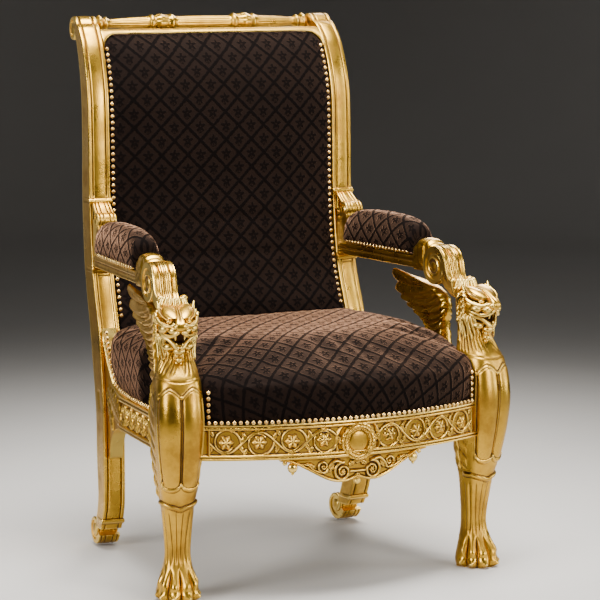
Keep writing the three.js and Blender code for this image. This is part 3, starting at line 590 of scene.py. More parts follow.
def legRadius(b, z, look):
    # superellipse through the rows, plus toes, tendons, lappets, side leaves, mane and eye sockets as bumps
    wide, ahead, behind = through(look["rows"], z)
    angle, far = np.radians(b), np.abs(b)
    power = 2.4 + 0.2 * smooth(55, 65, z) + 0.5 * smooth(190, 215, z) - 0.8 * smooth(440, 460, z)
    depth = np.where(np.cos(angle) > 0, ahead, behind)
    r = (np.abs(np.sin(angle) / wide) ** power + np.abs(np.cos(angle) / depth) ** power) ** (-1 / power)
    # toes and claws
    toe = ridges(b / 34)
    paw = smooth(70, 44, z) * smooth(96, 80, far)
    r = r - 12 * (1 - toe ** 0.55) * paw + paw * toe * (2.6 * bell(z, 36, 9) - 2.0 * bell(z, 22, 6))
    r = r + paw * 5.0 * bell(z, 9, 5) * toe ** 8 - 5 * smooth(7, 0, z) * smooth(110, 90, far)
    # tendons, then the cross bar
    shank = smooth(62, 84, z) * smooth(184, 172, z) * smooth(100, 76, far)
    r = r + shank * (2.8 * ridges((b + 12.5) / 25) ** 0.6 - 2.0)
    bar = 190 - 5 * bell(b, 0, 15) + 6 * smooth(20, 62, far)
    r = r + 5.2 * dome((z - bar) / 5.2) * smooth(92, 74, far)
    # two round-bottomed flutes with their rims
    q = (far - 21.5) / 19.0
    low = 230 + 10 * (1 - dome(q))
    top = 424 - 15 * np.clip(np.abs(q), 0, 1) ** 1.6
    column = smooth(low - 1, low + 2.5, z) * smooth(top + 1, top - 2.5, z)
    r = r + column * smooth(1.02, 0.94, np.abs(q)) * (4.2 * dome(q) - 1.2)
    r = r - 2.6 * column * bell(np.abs(q), 1.04, 0.07)
    r = r + 1.6 * smooth(226, 232, z) * smooth(424, 416, z) * bell(np.abs(q), 1.2, 0.08)
    r = r + 4.2 * dome((z - low + 4) / 4.6) * smooth(1.3, 1.1, np.abs(q))
    r = r + 1.5 * bell(z, top + 3, 2.0) * smooth(1.25, 1.05, np.abs(q))
    r = r - 1.6 * bell(z, top + 6.5, 1.6) * smooth(1.4, 1.2, np.abs(q))
    # veined leaf on each side
    v = (far - 95) / (24 + 13 * bell(z, 330, 90))
    leaf = smooth(1.06, 0.92, np.abs(v)) * smooth(198, 214, z) * smooth(438, 424, z)
    vein = ridges((z - 198) / 27 + 0.75 * np.abs(v))
    r = r + leaf * (2.8 * vein ** 0.6 + 1.6 * (1 - v * v) - 1.6 + 1.8 * bell(v, 0, 0.08)
                    - 2.2 * bell(np.abs(v), 0.12, 0.06))
    r = r + 7 * bell(z, 222, 10) * smooth(128, 150, far)
    r = r - 1.6 * bell(z, 446 - 6 * bell(b, 0, 30), 1.8) * smooth(80, 60, far)
    # ruff, mane and eye sockets
    flame = ridges(b / 13 + (z - 455) / 26) ** 0.6
    r = r + (3.0 * flame - 1.2) * smooth(449, 460, z) * smooth(500, 486, z) * smooth(6, 14, far)
    lock = ridges(b / 15.5 + 0.32 * np.sin((z - 460) / 15) + 0.5)
    r = r + smooth(100, 112, far) * smooth(462, 476, z) * smooth(586, 574, z) * (5.0 * lock ** 0.6 - 1.6)
    r = r - 5 * bell(far, 27, 11) * bell(z, 557, 5)
    return np.maximum(r, 6)


def lionHead(side):
    # brow plates between an outer and an inner curve, nose ridge, lobes, folds, fangs, curls, collar of leaves
    look, shells = headLook, []
    u, v = np.linspace(0, 1, 30), np.linspace(0, 1, 20)[None, :]
    for turn in (-1, 1):
        def place(p):
            return fromLeg(turn * p[..., 0], -p[..., 1], p[..., 2], side)
        out, inn = splineAt(look["outer"], u)[:, None], splineAt(look["inner"], u)[:, None]
        across, slope = inn - out, np.gradient(out, axis=0)
        up = np.cross(slope, across)
        up /= np.linalg.norm(up, axis=-1)[..., None]
        up = up * np.sign(up[..., 2:])
        puff = 5.0 * np.sin(np.pi * v) ** 0.8 + 1.6 * bell(v, 0.05, 0.05) - 2.6 * bell(v, 0.17, 0.06)
        puff = (puff * np.sin(np.pi * (0.12 + 0.8 * u[:, None])) ** 0.5)[..., None]
        top = out + across * v[..., None] + up * puff
        under = out + across * (0.12 + 0.88 * v[:, ::-1, None]) - up * 9
        shells.append(ringShell(place(np.concatenate([top, under], 1))))
        for a, h, z, wide, deep, tall in look["lobes"]:
            if a or turn > 0:
                shells.append(ball(1, lambda x, y, up: place(np.stack([a + x, h + y, z + up], -1)),
                                   (wide, deep, tall), 14, 20))
        for points, start, end in look["strands"]:
            shells.append(strand(points, start, end, place))
        for i in range(look["curls"]):
            z = 568 - 11.5 * i
            for bearing, size in ((88, 41), (114, 42)):
                spin = np.radians(np.linspace(150, -330, 9))
                wind = np.linspace(6.6, 1.2, 9)
                turned = np.radians(bearing) + wind * np.cos(spin) / size
                level = z - 0.2 * (bearing - 88) + wind * np.sin(spin)
                lift = size - 3 + np.linspace(0, 2.6, 9)
                line = np.stack([lift * np.sin(turned), lift * np.cos(turned), level], -1)
                shells.append(strand(line, 3.2, 2.2, place, 26, 8))
        for i in range(look["beard"]):
            turned, drop = math.radians(46 + 11 * i), 7 * math.sin(2.4 * i + 0.6)
            line = [(size * math.sin(turned + lean), size * math.cos(turned + lean), z + drop * share)
                    for size, lean, z, share in ((33, 0.05, 530, 0.3), (36, 0.08, 519, 0.5), (36, 0.0, 507, 0.7),
                                                 (36, -0.12, 494, 1), (37, -0.2, 482, 1))]
            shells.append(strand(line, 5.2, 1.4, place, 18, 8))
    share = np.linspace(0, 1, 40)
    line = splineAt(look["bridge"], share)
    step = np.gradient(line[:, :2], axis=0)
    step /= np.linalg.norm(step, axis=1)[:, None]
    w = np.linspace(-1, 1, 25)[None, :]
    crown = 4.0 * dome(w ** 2) - 1.4 * bell(w, 0, 0.2) * smooth(0.75, 0.5, share)[:, None]
    ridge = np.concatenate([crown, np.full((40, 5), -10.0)], 1)
    wide = np.concatenate([w, np.linspace(1, -1, 5)[None, :]], 1) * line[:, 2:]
    ahead, level = line[:, :1] - step[:, 1:] * ridge, line[:, 1:2] + step[:, :1] * ridge
    shells.append(ringShell(fromLeg(wide, -ahead, level, side)))
    for i in range(look["collar"]):
        turn = math.radians(-80 + 160 * i / (look["collar"] - 1))
        line = [(size * math.sin(turn), 0.75 * size * math.cos(turn) - 36, z) for size, z in
                ((19, 597), (23, 590), (26, 583), (30, 579), (32, 581.5))]
        shells.append(strand(line, 5.4, 3.0, lambda p: fromLeg(p[..., 0], -p[..., 1], p[..., 2], side)))
    return shells


def frontLeg(side):
    # the leg's skin by bearing and height, its skull tipped forwards, and the lion's head over it, with painted
    # shade in the mouth and eye sockets
    w = np.linspace(-1, 1, 176, endpoint=False)
    b = (180 * (0.62 * w + 0.38 * w ** 3))[None, :]
    z = spans((0, 66, 58), (66, 182, 56), (182, 240, 46), (240, 405, 46),
              (405, 465, 44), (465, 582, 124))[:, None]
    r = legRadius(b, z, legLook)
    angle = np.radians(b)
    cap = np.array([0.86, 0.6, 0.3])[:, None]
    r = np.concatenate([r, cap * r[-1:]])
    z = np.concatenate([z, np.array([[584.0], [585.5], [586.0]])])
    ahead = r * np.cos(angle)
    drop = legLook["tilt"] * smooth(544, 582, z) * (ahead + 28)
    shells = [ringShell(fromLeg(r * np.sin(angle), -ahead, z - drop, side))] + lionHead(side)
    far = np.abs(b)
    # painted shade: the mouth opening and the eye sockets are marked so the gilt paints them in its dark hollow
    # colour
    mouthShade = smooth(78, 62, far) * smooth(499, 506, z) * smooth(544, 538, z)
    shade = np.maximum(mouthShade, bell(far, 27, 14) * bell(z, 557, 7))
    word = sideWord(side)
    return carved(word + "_leg_carved", word + "_front_leg", shells, 60, shade)


print("legs", [len(frontLeg(side).data.polygons) for side in (-1, 1)])

wingLook = dict(
    out=2.0, feathers=9, scales=6, sag=17.0,
    root=[(-96, 573), (-136, 566), (-166, 548), (-168, 520), (-160, 494), (-166, 450), (-184, 353.6)],
    tips=[(50, 592), (33, 546), (0, 523), (-38, 506), (-72, 490), (-100, 440), (-120, 353.6)])


def wing(side):
    # fan between a root curve and a tip curve: long feathers, two rows of coverts and a rolled shoulder
    look = wingLook
    v = np.linspace(0, 1, 190)[:, None]
    u = np.linspace(0, 1, 74)[None, :]
    phase = look["feathers"] * v + look["scales"] * np.clip(v - 0.66, 0, None) / 0.34
    quill = ridges(phase)
    reach = 0.87 + 0.13 * quill ** 0.5
    root, tip = splineAt(look["root"], v[:, 0])[:, None], splineAt(look["tips"], v[:, 0])[:, None]
    flat = root + (tip - root) * (u * reach)[..., None]
    flat[..., 1] -= look["sag"] * 4 * u * (1 - u) * smooth(0.02, 0.25, v) * smooth(0.95, 0.6, v)
    edge = (np.sqrt(np.clip(u / 0.05, 0, 1)) * np.sqrt(np.clip((1 - u) / 0.05, 0, 1))
            * np.sqrt(np.clip(np.minimum(v, 1.2 - v) / 0.02, 0, 1)))
    body = 4.6 - 1.6 * u + (4.2 * quill ** 0.6 - 2.4) * smooth(0.16, 0.4, u)
    body = body + 0.8 * bell(phase % 1, 0.5, 0.07) * smooth(0.4, 0.6, u)
    first, short = 0.52 + 0.10 * ridges(v * 11), ridges(v * 11) ** 0.6
    second, least = 0.31 + 0.07 * ridges(v * 12 + 0.5), ridges(v * 12 + 0.5) ** 0.6
    body = body + smooth(first + 0.02, first - 0.02, u) * (0.4 + 2.2 * short)
    body = body + smooth(second + 0.02, second - 0.02, u) * (0.4 + 2.0 * least)
    body = body + 5.2 * bell(u, 0.07, 0.08) * (0.25 + 0.75 * smooth(0, 0.16, v))
    half = np.maximum(body, 0.8) * (0.25 + 0.75 * edge)
    outer = fromSide(look["out"] + half, flat[..., 0], flat[..., 1], side)
    inner = fromSide(look["out"] - half, flat[..., 0], flat[..., 1], side)
    word = sideWord(side)
    shell = ringShell(np.concatenate([outer, inner[:, ::-1]], 1))
    return carved(word + "_wing_carved", word + "_wing", [shell], 60)


print("wings", [len(wing(side).data.polygons) for side in (-1, 1)])


def sweepBand(path, outward, half, thick, grooves, side, samples=44):
    # strip of width and thickness carried along a path, its outer face cut by grooves (place, width, depth)
    t = np.linspace(-1, 1, samples)[None, :]
    half, thick = np.asarray(half, float).reshape(-1, 1), np.asarray(thick, float).reshape(-1, 1)
    cut = sum(depth * bell(np.abs(t), place, width) for place, width, depth in grooves)
    cut = cut + 1.6 * smooth(0.92, 1, np.abs(t))
    outer = path[:, None] - outward[:, None] * cut[..., None]
    inner = path[:, None] - outward[:, None] * (thick + 0 * t[:, :5])[..., None]
    face = fromSide(half * t, outer[..., 0], np.maximum(outer[..., 1], 0.3), side)
    rear = fromSide(half * np.linspace(1, -1, 5)[None, :], inner[..., 0], np.maximum(inner[..., 1], 0.3), side)
    return ringShell(np.concatenate([face, rear], 1))


def volute(centre, start, end, first, turns, way, half, thick, side, grooves,
           lead=None, narrow=1.0, sunk=2.6, dish=False, ease=0.9):
    # band wound into a shrinking spiral, a sunk web that fills it and a button or ringed dish at its eye
    share = np.linspace(0, 1, 170)
    angle = math.radians(first) + way * 2 * math.pi * turns * share
    radius = start + (end - start) * share ** ease
    path = np.stack([centre[0] + radius * np.cos(angle), centre[1] + radius * np.sin(angle)], -1)
    wide = np.full(len(path), half)
    if lead is not None:
        path = np.concatenate([splineAt(list(lead) + [path[0]], np.linspace(0, 1, 40))[:-1], path])
        wide = np.concatenate([half * (narrow + (1 - narrow) * smooth(0, 1, np.linspace(0, 1, 39))), wide])
    step = np.gradient(path, axis=0)
    step /= np.linalg.norm(step, axis=1)[:, None]
    outward = np.stack([-step[:, 1], step[:, 0]], -1) * (-way)
    fade = np.linspace(1, 0.45, len(path))
    shells = [sweepBand(path, outward, wide, thick * fade, grooves, side)]
    once = share * turns <= 1
    web = radius - thick * 0.5
    hub = np.stack([centre[0] + web * np.cos(angle), centre[1] + web * np.sin(angle)], -1)[once]
    rings = np.stack([fromSide(t, hub[:, 0], np.maximum(hub[:, 1], 0.3), side)
                      for t in (-half + sunk, half - sunk)])
    shells.append(ringShell(rings))
    button = [(end + 2.5, -half + 3), (end + 3, -half + 0.6), (end + 1.5, -half - 0.8),
              (end * 0.6, -half - 1.8), (0.6, -half - 2.0)]
    if dish:
        button = [(end + 3, -half + 3), (end + 3.2, -half - 0.4), (end + 1.8, -half - 1.6), (end, -half - 1.2),
                  (end - 1.4, -half + 0.8), (end * 0.55, -half + 0.6), (end * 0.4, -half - 0.6),
                  (end * 0.2, -half - 1.2), (0.5, -half - 1.3)]
    for turn in (-1, 1):
        shells.append(lathe([(r, turn * h) for r, h in button],
                            lambda x, y, h: fromSide(h, centre[0] + x, np.maximum(centre[1] + y, 0.3), side), 28))
    return shells


plainReeds = [(0.33, 0.05, 2.2), (0.72, 0.05, 2.2)]
postLook = dict(rows=[(44, 213, 20), (90, 192, 22), (122, 187, 22), (200, 190, 26), (300, 193, 27),
                      (400, 210, 30), (470, 225, 32), (586, 261, 29), (717, 277, 27), (867, 278, 24),
                      (975, 284, 23), (1062, 312, 21), (1104, 342, 19), (1114, 359, 18)],
                half=23.5, collars=(62.0, 596.0, 741.0), topScroll=(367, 1099), footScroll=(241, 38))


def postFront(z):
    # front of the post at height z
    mid, half = through(postLook["rows"], z)
    return mid - half


def postBack(z):
    # back of the post at height z
    mid, half = through(postLook["rows"], z)
    return mid + half


def backPost(side):
    # post swept up its curve: sunk panel between fillets on the front, half-round collars, a volute at each end
    look, half = postLook, postLook["half"]
    z = spans((44, 1114, 330), (54, 70, 24), (466, 474, 8), (586, 606, 28), (731, 751, 28))[:, None]
    t = np.concatenate([np.linspace(-half, half, 54), np.full(9, half),
                        np.linspace(half, -half, 10), np.full(9, -half)])[None, :]
    d = np.concatenate([np.zeros(54), np.linspace(0, 1, 11)[1:-1], np.ones(10),
                        np.linspace(1, 0, 11)[1:-1]])[None, :]
    front, back = postFront(z), postBack(z)
    face = (d == 0)
    collar = sum(np.sqrt(np.clip(36 - (z - c) ** 2, 0, 36)) for c in look["collars"])
    sink = (3.2 * bell(np.abs(t), 14.6, 1.7) + 2.2 * smooth(half - 2.2, half, np.abs(t)) ** 2
            - 1.2 * np.clip(1 - (t / 13) ** 2, 0, 1))
    panel = smooth(13, 11.5, np.abs(t)) * smooth(468, 470, z) * smooth(587, 585, z) * 2.6
    plain = np.clip(sum(bell(z, c, 9) for c in look["collars"]), 0, 1)
    s = front + (back - front) * d + face * ((sink + panel) * (1 - plain) - collar * 0.9)
    bulge = collar * 0.28 * (d < 0.75)
    across = t + np.sign(t) * bulge * (np.abs(t) > half - 1)
    groove = bell((d - 0.5) * (back - front), 0, 7) * smooth(300, 306, z) * smooth(346, 340, z)
    oval = 2.2 * groove * (~face) * (d < 1)
    rings = fromSide(across - np.sign(t) * oval, s, z + 0 * t, side)
    shells = [ringShell(rings)]
    shells += volute(look["topScroll"], 32.5, 7, 166, 1.9, -1, half, 8.5, side, [(0.62, 0.075, 3.2)])
    shells += volute(look["footScroll"], 37.5, 8, 196, 1.75, 1, half, 9.5, side, plainReeds)
    word = sideWord(side)
    return carved(word + "_post_carved", word + "_back_post", shells)


print("posts", [len(backPost(side).data.polygons) for side in (-1, 1)])


def box4(half, low, high, count):
    # outline of a rectangle with softened corners: superellipse, evenly stepped by angle
    angle = circle(count) + 0.001
    c, s = np.cos(angle), np.sin(angle)
    power = 10
    far = (np.abs(c) ** power + np.abs(s) ** power) ** (-1 / power)
    return half * far * c, (low + high) / 2 + (high - low) / 2 * far * s


def sideBoard(s, low, high, outer, inner, side, rows):
    # board swept along the side frame, its outer face given by height, closed by a plain back
    v = np.linspace(0, 1, rows)[None, :]
    z = low[:, None] + (high - low)[:, None] * v
    face = fromSide(outer(s[:, None] + 0 * v, z), s[:, None] + 0 * v, z, side)
    back = np.stack([fromSide(inner + 0 * s, s, high, side), fromSide(inner + 0 * s, s, low, side)], 1)
    return ringShell(np.concatenate([face, back], 1))


armLook = dict(
    bottom=603.0, top=630.0, half=22.5, scroll=(-149, 614), rear=(214, 702),
    neck=[(-230, 570), (-216, 577), (-203, 587), (-191, 600), (-185, 614), (-180, 628)],
    throat=[(-222, 554), (-206, 560), (-192, 570), (-180, 583), (-172, 597), (-168, 611)],
    riser=[(150, 626), (178, 640), (196, 664), (200, 690), (206, 704)],
    reeds=[(0.0, 0.035, 2.0), (0.17, 0.03, 2.4), (0.36, 0.03, 2.4), (0.52, 0.035, 3.0), (0.88, 0.03, 1.6)])


def arm(side):
    # moulded rail, carved block, reeded neck and volute in front, and a riser with its scroll behind
    look = armLook
    s = spans((-110, 232, 60))[:, None]
    t, z = box4(look["half"], look["bottom"], look["top"], 64)
    t = t - np.sign(t) * 2.0 * bell(z, 616.5, 2.4) * (np.abs(t) > 18) + np.sign(t) * 0.8 * bell(z, 623, 3)
    shells = [ringShell(fromSide(t[None, :], s, z[None, :], side))]
    s = np.linspace(-70, -140, 44)[:, None]
    high = 653 + 14 * smooth(-68, -92, s) - 13 * smooth(-112, -140, s) + 1.5 * ridges((s + 70) / 11)
    t, w = box4(1, -1, 1, 96)
    z = 599 + (high - 599) * (w[None, :] + 1) / 2 - 6 * t[None, :] ** 2 * smooth(0.2, 1, w[None, :])
    shown = smooth(-114, -106, s)
    relief = 2.6 * leafHeight(-s + 0 * z, z, (70, 612), 38, 62, 24, 1.0, 4) * (np.abs(t[None, :]) > 0.9)
    shells.append(ringShell(fromSide((21.2 + (1.2 + relief) * shown) * t[None, :], s, z, side)))
    v = np.linspace(0, 1, 40)
    outer, inner = splineAt(look["neck"], v), splineAt(look["throat"], v)
    outward = outer - inner
    depth = np.linalg.norm(outward, axis=1)
    shells.append(sweepBand(outer, outward / depth[:, None], 16 + 7 * smooth(0, 0.7, v), depth, [], side))
    shells += volute(look["scroll"], 44, 16, 174, 1.6, -1, 24.5, 15, side, look["reeds"],
                     [(-240, 572), (-226, 579), (-211, 589), (-199, 602)], 0.78, 2.2, True, 2.0)
    shells += volute(look["rear"], 18, 5, 75, 1.6, 1, 21, 6, side, plainReeds,
                     [(247, 739), (240, 735), (230, 727)], 0.9)
    path = splineAt(look["riser"], np.linspace(0, 1, 50))
    rings = []
    for t0, drop in ((-20, 2.5), (-18.5, 0.6), (-16, 0), (-6, -1.5), (0, -2),
                     (6, -1.5), (16, 0), (18.5, 0.6), (20, 2.5)):
        rear = np.stack([np.full(2, 240.0), np.array([704.0, 620.0])], -1)
        line = np.concatenate([path + np.array([drop, -drop * 0.4]), rear])
        rings.append(fromSide(t0, line[:, 0], line[:, 1], side))
    shells.append(ringShell(np.stack(rings)))
    word = sideWord(side)
    return carved(word + "_arm_carved", word + "_arm", shells, 45)


sideLook = dict(
    front=-236.0, leaves=7, first=-212.0, pitch=40.0,
    bracketLow=[(20, 282.5), (70, 282.5), (118, 268), (144, 234), (152, 205), (196, 205)],
    bracketTop=[(0, 353), (20, 353), (96, 362), (135, 392), (170, 440), (196, 484)],
    bracketRoll=[(0, 353), (20, 353), (96, 362), (135, 392), (170, 440), (190, 474)])


def sideRelief(s, z):
    # upright leaves with a spiral between each pair, over a sunk ground between mouldings
    look, parts = sideLook, [np.zeros_like(s)]
    for i in range(look["leaves"]):
        mid = look["first"] + look["pitch"] * i
        near = np.where(np.abs(s - mid) < 30, s, 9999.0)
        parts.append(leafHeight(near, z, (mid, 294), 90, 47, 9, 5, 4))
        for way in (-1, 1):
            turned = mid + way * (near - mid)
            curl = spiralLine((mid + 14, 326), 9, 2, 200, -330, 60)
            parts.append(strokeHeight(turned, z, curl, np.linspace(2.2, 1.4, 60), 4.4))
            parts.append(leafHeight(turned, z, (mid + 4, 296), 40, 20, 4, 4))
    carved = 14.8 + np.minimum(np.max(parts, axis=0), 5.2)
    edge = np.maximum(smooth(340.5, 343, z), smooth(294.5, 292, z))
    mould = (0.9 * bell(z, 345.2, 1.7) - 1.6 * bell(z, 348.2, 1.0)
             + 0.9 * bell(z, 290, 1.7) - 1.6 * bell(z, 287, 1.0))
    return carved + edge * (20 - carved) + edge * mould


def bracketRelief(s, z):
    # acanthus that climbs the bracket, with a rolled upper edge
    top = splineAt(sideLook["bracketRoll"], np.linspace(0, 1, 200))
    edge = np.interp(s, top[:, 0], top[:, 1])
    parts = [leafHeight(s, z, (60, 300), 32, 110, 26, 5, 6), leafHeight(s, z, (118, 270), 62, 90, 16, 4.6, 5),
             leafHeight(s, z, (40, 292), 8, 70, 12, 4.2, 4)]
    roll = 3.2 * dome((edge - z - 4) / 4)
    return 15 + np.maximum(np.max(parts, axis=0), roll)


def sideRail(side):
    # carved rail and the bracket that rises behind it to the post
    s = spans((sideLook["front"], 62, 300))
    shells = [sideBoard(s, 282.4 + 0 * s, 352.6 + 0 * s, sideRelief, -14, side, 52)]
    s = spans((30, 192, 110))
    run = np.linspace(0, 1, 300)
    low, top = splineAt(sideLook["bracketLow"], run), splineAt(sideLook["bracketTop"], run)
    low, top = np.interp(s, low[:, 0], low[:, 1]), np.interp(s, top[:, 0], top[:, 1])
    shells.append(sideBoard(s, low, top, bracketRelief, -14, side, 60))
    word = sideWord(side)
    return carved(word + "_side_rail_carved", word + "_side_rail", shells)


print("sides", [len(make(side).data.polygons) for make in (arm, sideRail) for side in (-1, 1)])

crestLook = dict(y=366.0, z=1111.0, half=249.8,
                 rows=[(0, 13), (3, 15), (8, 18), (12, 16), (16, 12), (19, 12), (22, 15), (25, 14), (32, 10),
                       (60, 11.4), (100, 13.6), (122, 15), (125, 17), (129, 19), (133, 17), (135, 16), (141, 18),
                       (148, 20), (158, 18), (168, 17), (172, 19), (176, 20), (180, 18), (184, 15), (190, 14.6),
                       (220, 15), (250, 15.2)])


def crest():
    # turned rail along the top: fluted tapers, leafed collars with rings and a vase at each end
    look = crestLook
    x = spans((-look["half"], look["half"], 420))[:, None]
    angle = circle(72)[None, :]
    far = look["half"] - np.abs(x)
    radius = through(look["rows"], far)[0]
    flute = smooth(33, 36, far) * smooth(121, 118, far) + smooth(186, 190, far)
    leafy = smooth(136, 140, far) * smooth(171, 167, far) + smooth(3, 5, far) * smooth(15, 13, far)
    radius = radius - flute * 0.9 * (1 - ridges(angle * 12 / math.pi / 2) ** 0.5)
    leaf = 2.4 * ridges(angle * 8 / math.pi / 2 + 0.5) ** 0.6 - 1.6
    radius = radius + leafy * leaf * (0.6 + 0.4 * ridges((far - 136) / 11))
    shell = ringShell(joined(x, look["y"] + layout["shift"] + radius * np.cos(angle),
                             look["z"] + radius * np.sin(angle)))
    return carved("crest_carved", "crest_rail", [shell])


backLook = dict(low=452.0, top=1090.0, corner=34.0, inset=1.2, crown=15.0, puff=8.0)


def innerX(s):
    # half width between the posts at depth s
    turn = math.radians(layout["splay"])
    return layout["sideX"] - postLook["half"] * math.cos(turn) - s * math.sin(turn)


def innerY(s):
    # row-frame depth of the posts' inner faces at s
    turn = math.radians(layout["splay"])
    return s * math.cos(turn) - postLook["half"] * math.sin(turn) + layout["shift"]


def backPoint(share, s, z, inset):
    # point between the posts: share of the half width across, depth s, height z
    return joined(share * (innerX(s) - inset), innerY(s), z)


def topRail():
    # moulded strip over the upholstered back, filling its rounded corners
    share = np.linspace(-1, 1, 260)[:, None]
    wide = innerX(postFront(np.array(backLook["top"]))) - backLook["inset"]
    past = np.clip(np.abs(share) * wide - (wide - backLook["corner"]), 0, backLook["corner"])
    low = backLook["top"] + 0.6 - (backLook["corner"] - np.sqrt(backLook["corner"] ** 2 - past ** 2))
    v = np.array([0, 0.05, 0.12, 0.3, 0.5, 0.7, 0.88, 0.95, 1, 1, 0.5, 0])[None, :]
    deep = np.array([3, 0.5, -1, -2, -2.4, -2, -1, 0.5, 3, 26, 26, 26])[None, :]
    z = low + (1100 - low) * v
    s = postFront(z) + deep
    return carved("top_rail_moulded", "top_rail", [ringShell(backPoint(share, s, z, 1.0))], 60)


def backRail():
    # plain rail between the posts with softened edges
    y, z = box4(12, layout["railBottom"] + 0.4, layout["railTop"] - 0.4, 40)
    half = innerX(202) - 0.8
    x = spans((-half, half, 60))[:, None]
    middle = innerY(188)
    shell = ringShell(joined(x, middle + y[None, :], z[None, :]))
    return carved("back_rail_moulded", "back_rail", [shell])


print("rails", [len(make().data.polygons) for make in (crest, topRail, backRail)])


stuffing = dict(frames=20, stretch=20, bend=2)


def swell(piece, held, pressure, most):
    # cloth blown up from inside with its nailed edge held, each point kept within most of where it was
    group = piece.vertex_groups.new(name="held")
    for level in np.unique(np.round(held, 2)):
        group.add(np.flatnonzero(np.round(held, 2) == level).tolist(), float(level), "REPLACE")
    cloth = piece.modifiers.new("stuffing", "CLOTH")
    cloth.settings.vertex_group_mass = "held"
    cloth.settings.use_pressure = True
    cloth.settings.uniform_pressure_force = pressure
    cloth.settings.effector_weights.gravity = 0
    cloth.settings.tension_stiffness = stuffing["stretch"]
    cloth.settings.compression_stiffness = stuffing["stretch"]
    cloth.settings.bending_stiffness = stuffing["bend"]
    for frameNumber in range(1, stuffing["frames"] + 1):
        scene.frame_set(frameNumber)
    count = len(piece.data.vertices)
    before, after = np.empty(count * 3, np.float32), np.empty(count * 3, np.float32)
    piece.data.vertices.foreach_get("co", before)
    made = piece.evaluated_get(bpy.context.evaluated_depsgraph_get()).data
    made.vertices.foreach_get("co", after)
    move = (after - before).reshape(-1, 3)
    length = np.linalg.norm(move, axis=1)
    limit = most * 0.001
    move *= (limit * np.tanh(length / limit) / np.maximum(length, 1e-9))[:, None]
    piece.modifiers.remove(cloth)
    piece.data.vertices.foreach_set("co", before + move.ravel())
    piece.data.update()
    scene.frame_set(1)
    print("stuffed", piece.name, "moved", round(float(length.max()) * 1000, 1), "mm, kept", most)


def rounded(piece):
    # one smoothing subdivision
    soft = piece.modifiers.new("soft", "SUBSURF")
    soft.levels = soft.render_levels = 1


seatLook = dict(back=186.0, fill=0.8, puff=9.0,
                rows=[(0, 0.97, 353.4, 353.4), (1, 0.99, 358, 360), (2, 1.0, 374, 385), (3, 1.002, 394, 410),
                      (4, 1.0, 412, 434), (5, 0.993, 427, 456), (6, 0.98, 438, 470), (7, 0.96, 446, 479),
                      (8, 0.925, 452, 485), (9, 0.88, 456, 489.5), (10, 0.8, 461, 492), (11, 0.7, 466, 494),
                      (12, 0.55, 473, 495), (13, 0.4, 480.5, 495), (14, 0.25, 488, 495), (15, 0.06, 493, 495)])


def bowY(x):
    # front of the bow at half width x
    return layout["bowFront"] + layout["bowRadius"] - np.sqrt(layout["bowRadius"] ** 2 - x ** 2)


def seat():
    # rings that shrink and climb from the nailed edge to the crown, inside the rails and clear of the wings
    look = seatLook
    k = spans((0, 15, 46))[:, None]
    angle = circle(200)[None, :]
    share, front, back = through(look["rows"], k)
    c, s = np.cos(angle), np.sin(angle)
    power = 14
    reach = share * (np.abs(c) ** power + np.abs(s) ** power) ** (-1 / power)
    depth = (reach * s + 1) / 2
    along = -320 + depth * (look["back"] + 320)
    wide = layout["sideX"] + 13 - 21 * smooth(-62, -96, along) - along * math.tan(math.radians(layout["splay"]))
    x = reach * c * wide
    y = bowY(x) + 2 + depth * (look["back"] - bowY(x) - 2)
    z = front + (back - front) * smooth(0, 0.36, depth)
    rings = np.stack([x, y + layout["shift"], z], -1)
    walk = np.linalg.norm(np.diff(rings[::-1], axis=0), axis=-1).cumsum(0)
    walk = np.concatenate([np.zeros((1, 200)), walk])[::-1]
    start = rings[-1:, :, :2]
    way = rings[0, :, :2] - rings[-1, :, :2]
    way = way / np.linalg.norm(way, axis=-1)[:, None]
    flat = start + way[None] * walk[..., None]
    weave = np.concatenate([flat, np.zeros(flat.shape[:2] + (1,))], -1).reshape(-1, 3)
    middle = np.array([[rings[-1, :, 0].mean(), rings[-1, :, 1].mean(), 0]])
    weave = np.concatenate([weave, weave[:1] * 0, middle])
    piece = makePiece("seat_upholstery", [ringShell(rings)], ["seat_cushion"], velvet, 180, weave)
    held = np.concatenate([np.broadcast_to(smooth(7, 3, k), (len(k), 200)).ravel(), [1, 0]])
    swell(piece, held, 2.5, look["puff"])
    rounded(piece)
    return piece


def insideBack():
    # crowned panel between the posts with rounded upper corners
    look = backLook
    z = spans((look["low"], look["top"], 96), (look["top"] - 34, look["top"], 22))[:, None]
    past = np.clip(z - (look["top"] - look["corner"]), 0, look["corner"])
    share = np.concatenate([np.linspace(-1, 1, 70), np.linspace(1, -1, 8)])[None, :]
    share = np.sign(share) * (1 - (1 - np.abs(share)) ** 1.25)
    face = (np.arange(78) < 70)[None, :]
    crown = look["crown"] * (1 - share ** 6) * smooth(455, 520, z) * (1 - 0.75 * smooth(1046, 1091, z))
    s = np.where(face, postFront(z) + 5 - crown, postFront(z) + 22)
    half = innerX(s) - look["inset"] - (look["corner"] - np.sqrt(look["corner"] ** 2 - past ** 2))
    rings = joined(share * half, innerY(s), z)
    climb = np.concatenate([[0], np.hypot(np.diff(z[:, 0]), np.diff(postFront(z[:, 0]))).cumsum()])[:, None]
    weave = joined(share * half, climb, 0 * climb).reshape(-1, 3)
    weave = np.concatenate([weave, weave[:2] * 0])
    piece = makePiece("inside_back_upholstery", [ringShell(rings)], ["inside_back"], velvet,
                      50, weave)
    ends = np.maximum(smooth(470, 456, z), smooth(1072, 1086, z))
    edge = np.maximum(smooth(0.9, 0.985, np.abs(share)), ends)
    held = np.concatenate([np.where(face, edge, 1.0).ravel(), [1, 1]])
    swell(piece, held, 2.0, look["puff"])
    rounded(piece)
    return piece


outsideLook = dict(low=354.5, top=1070.0, inset=0.7)


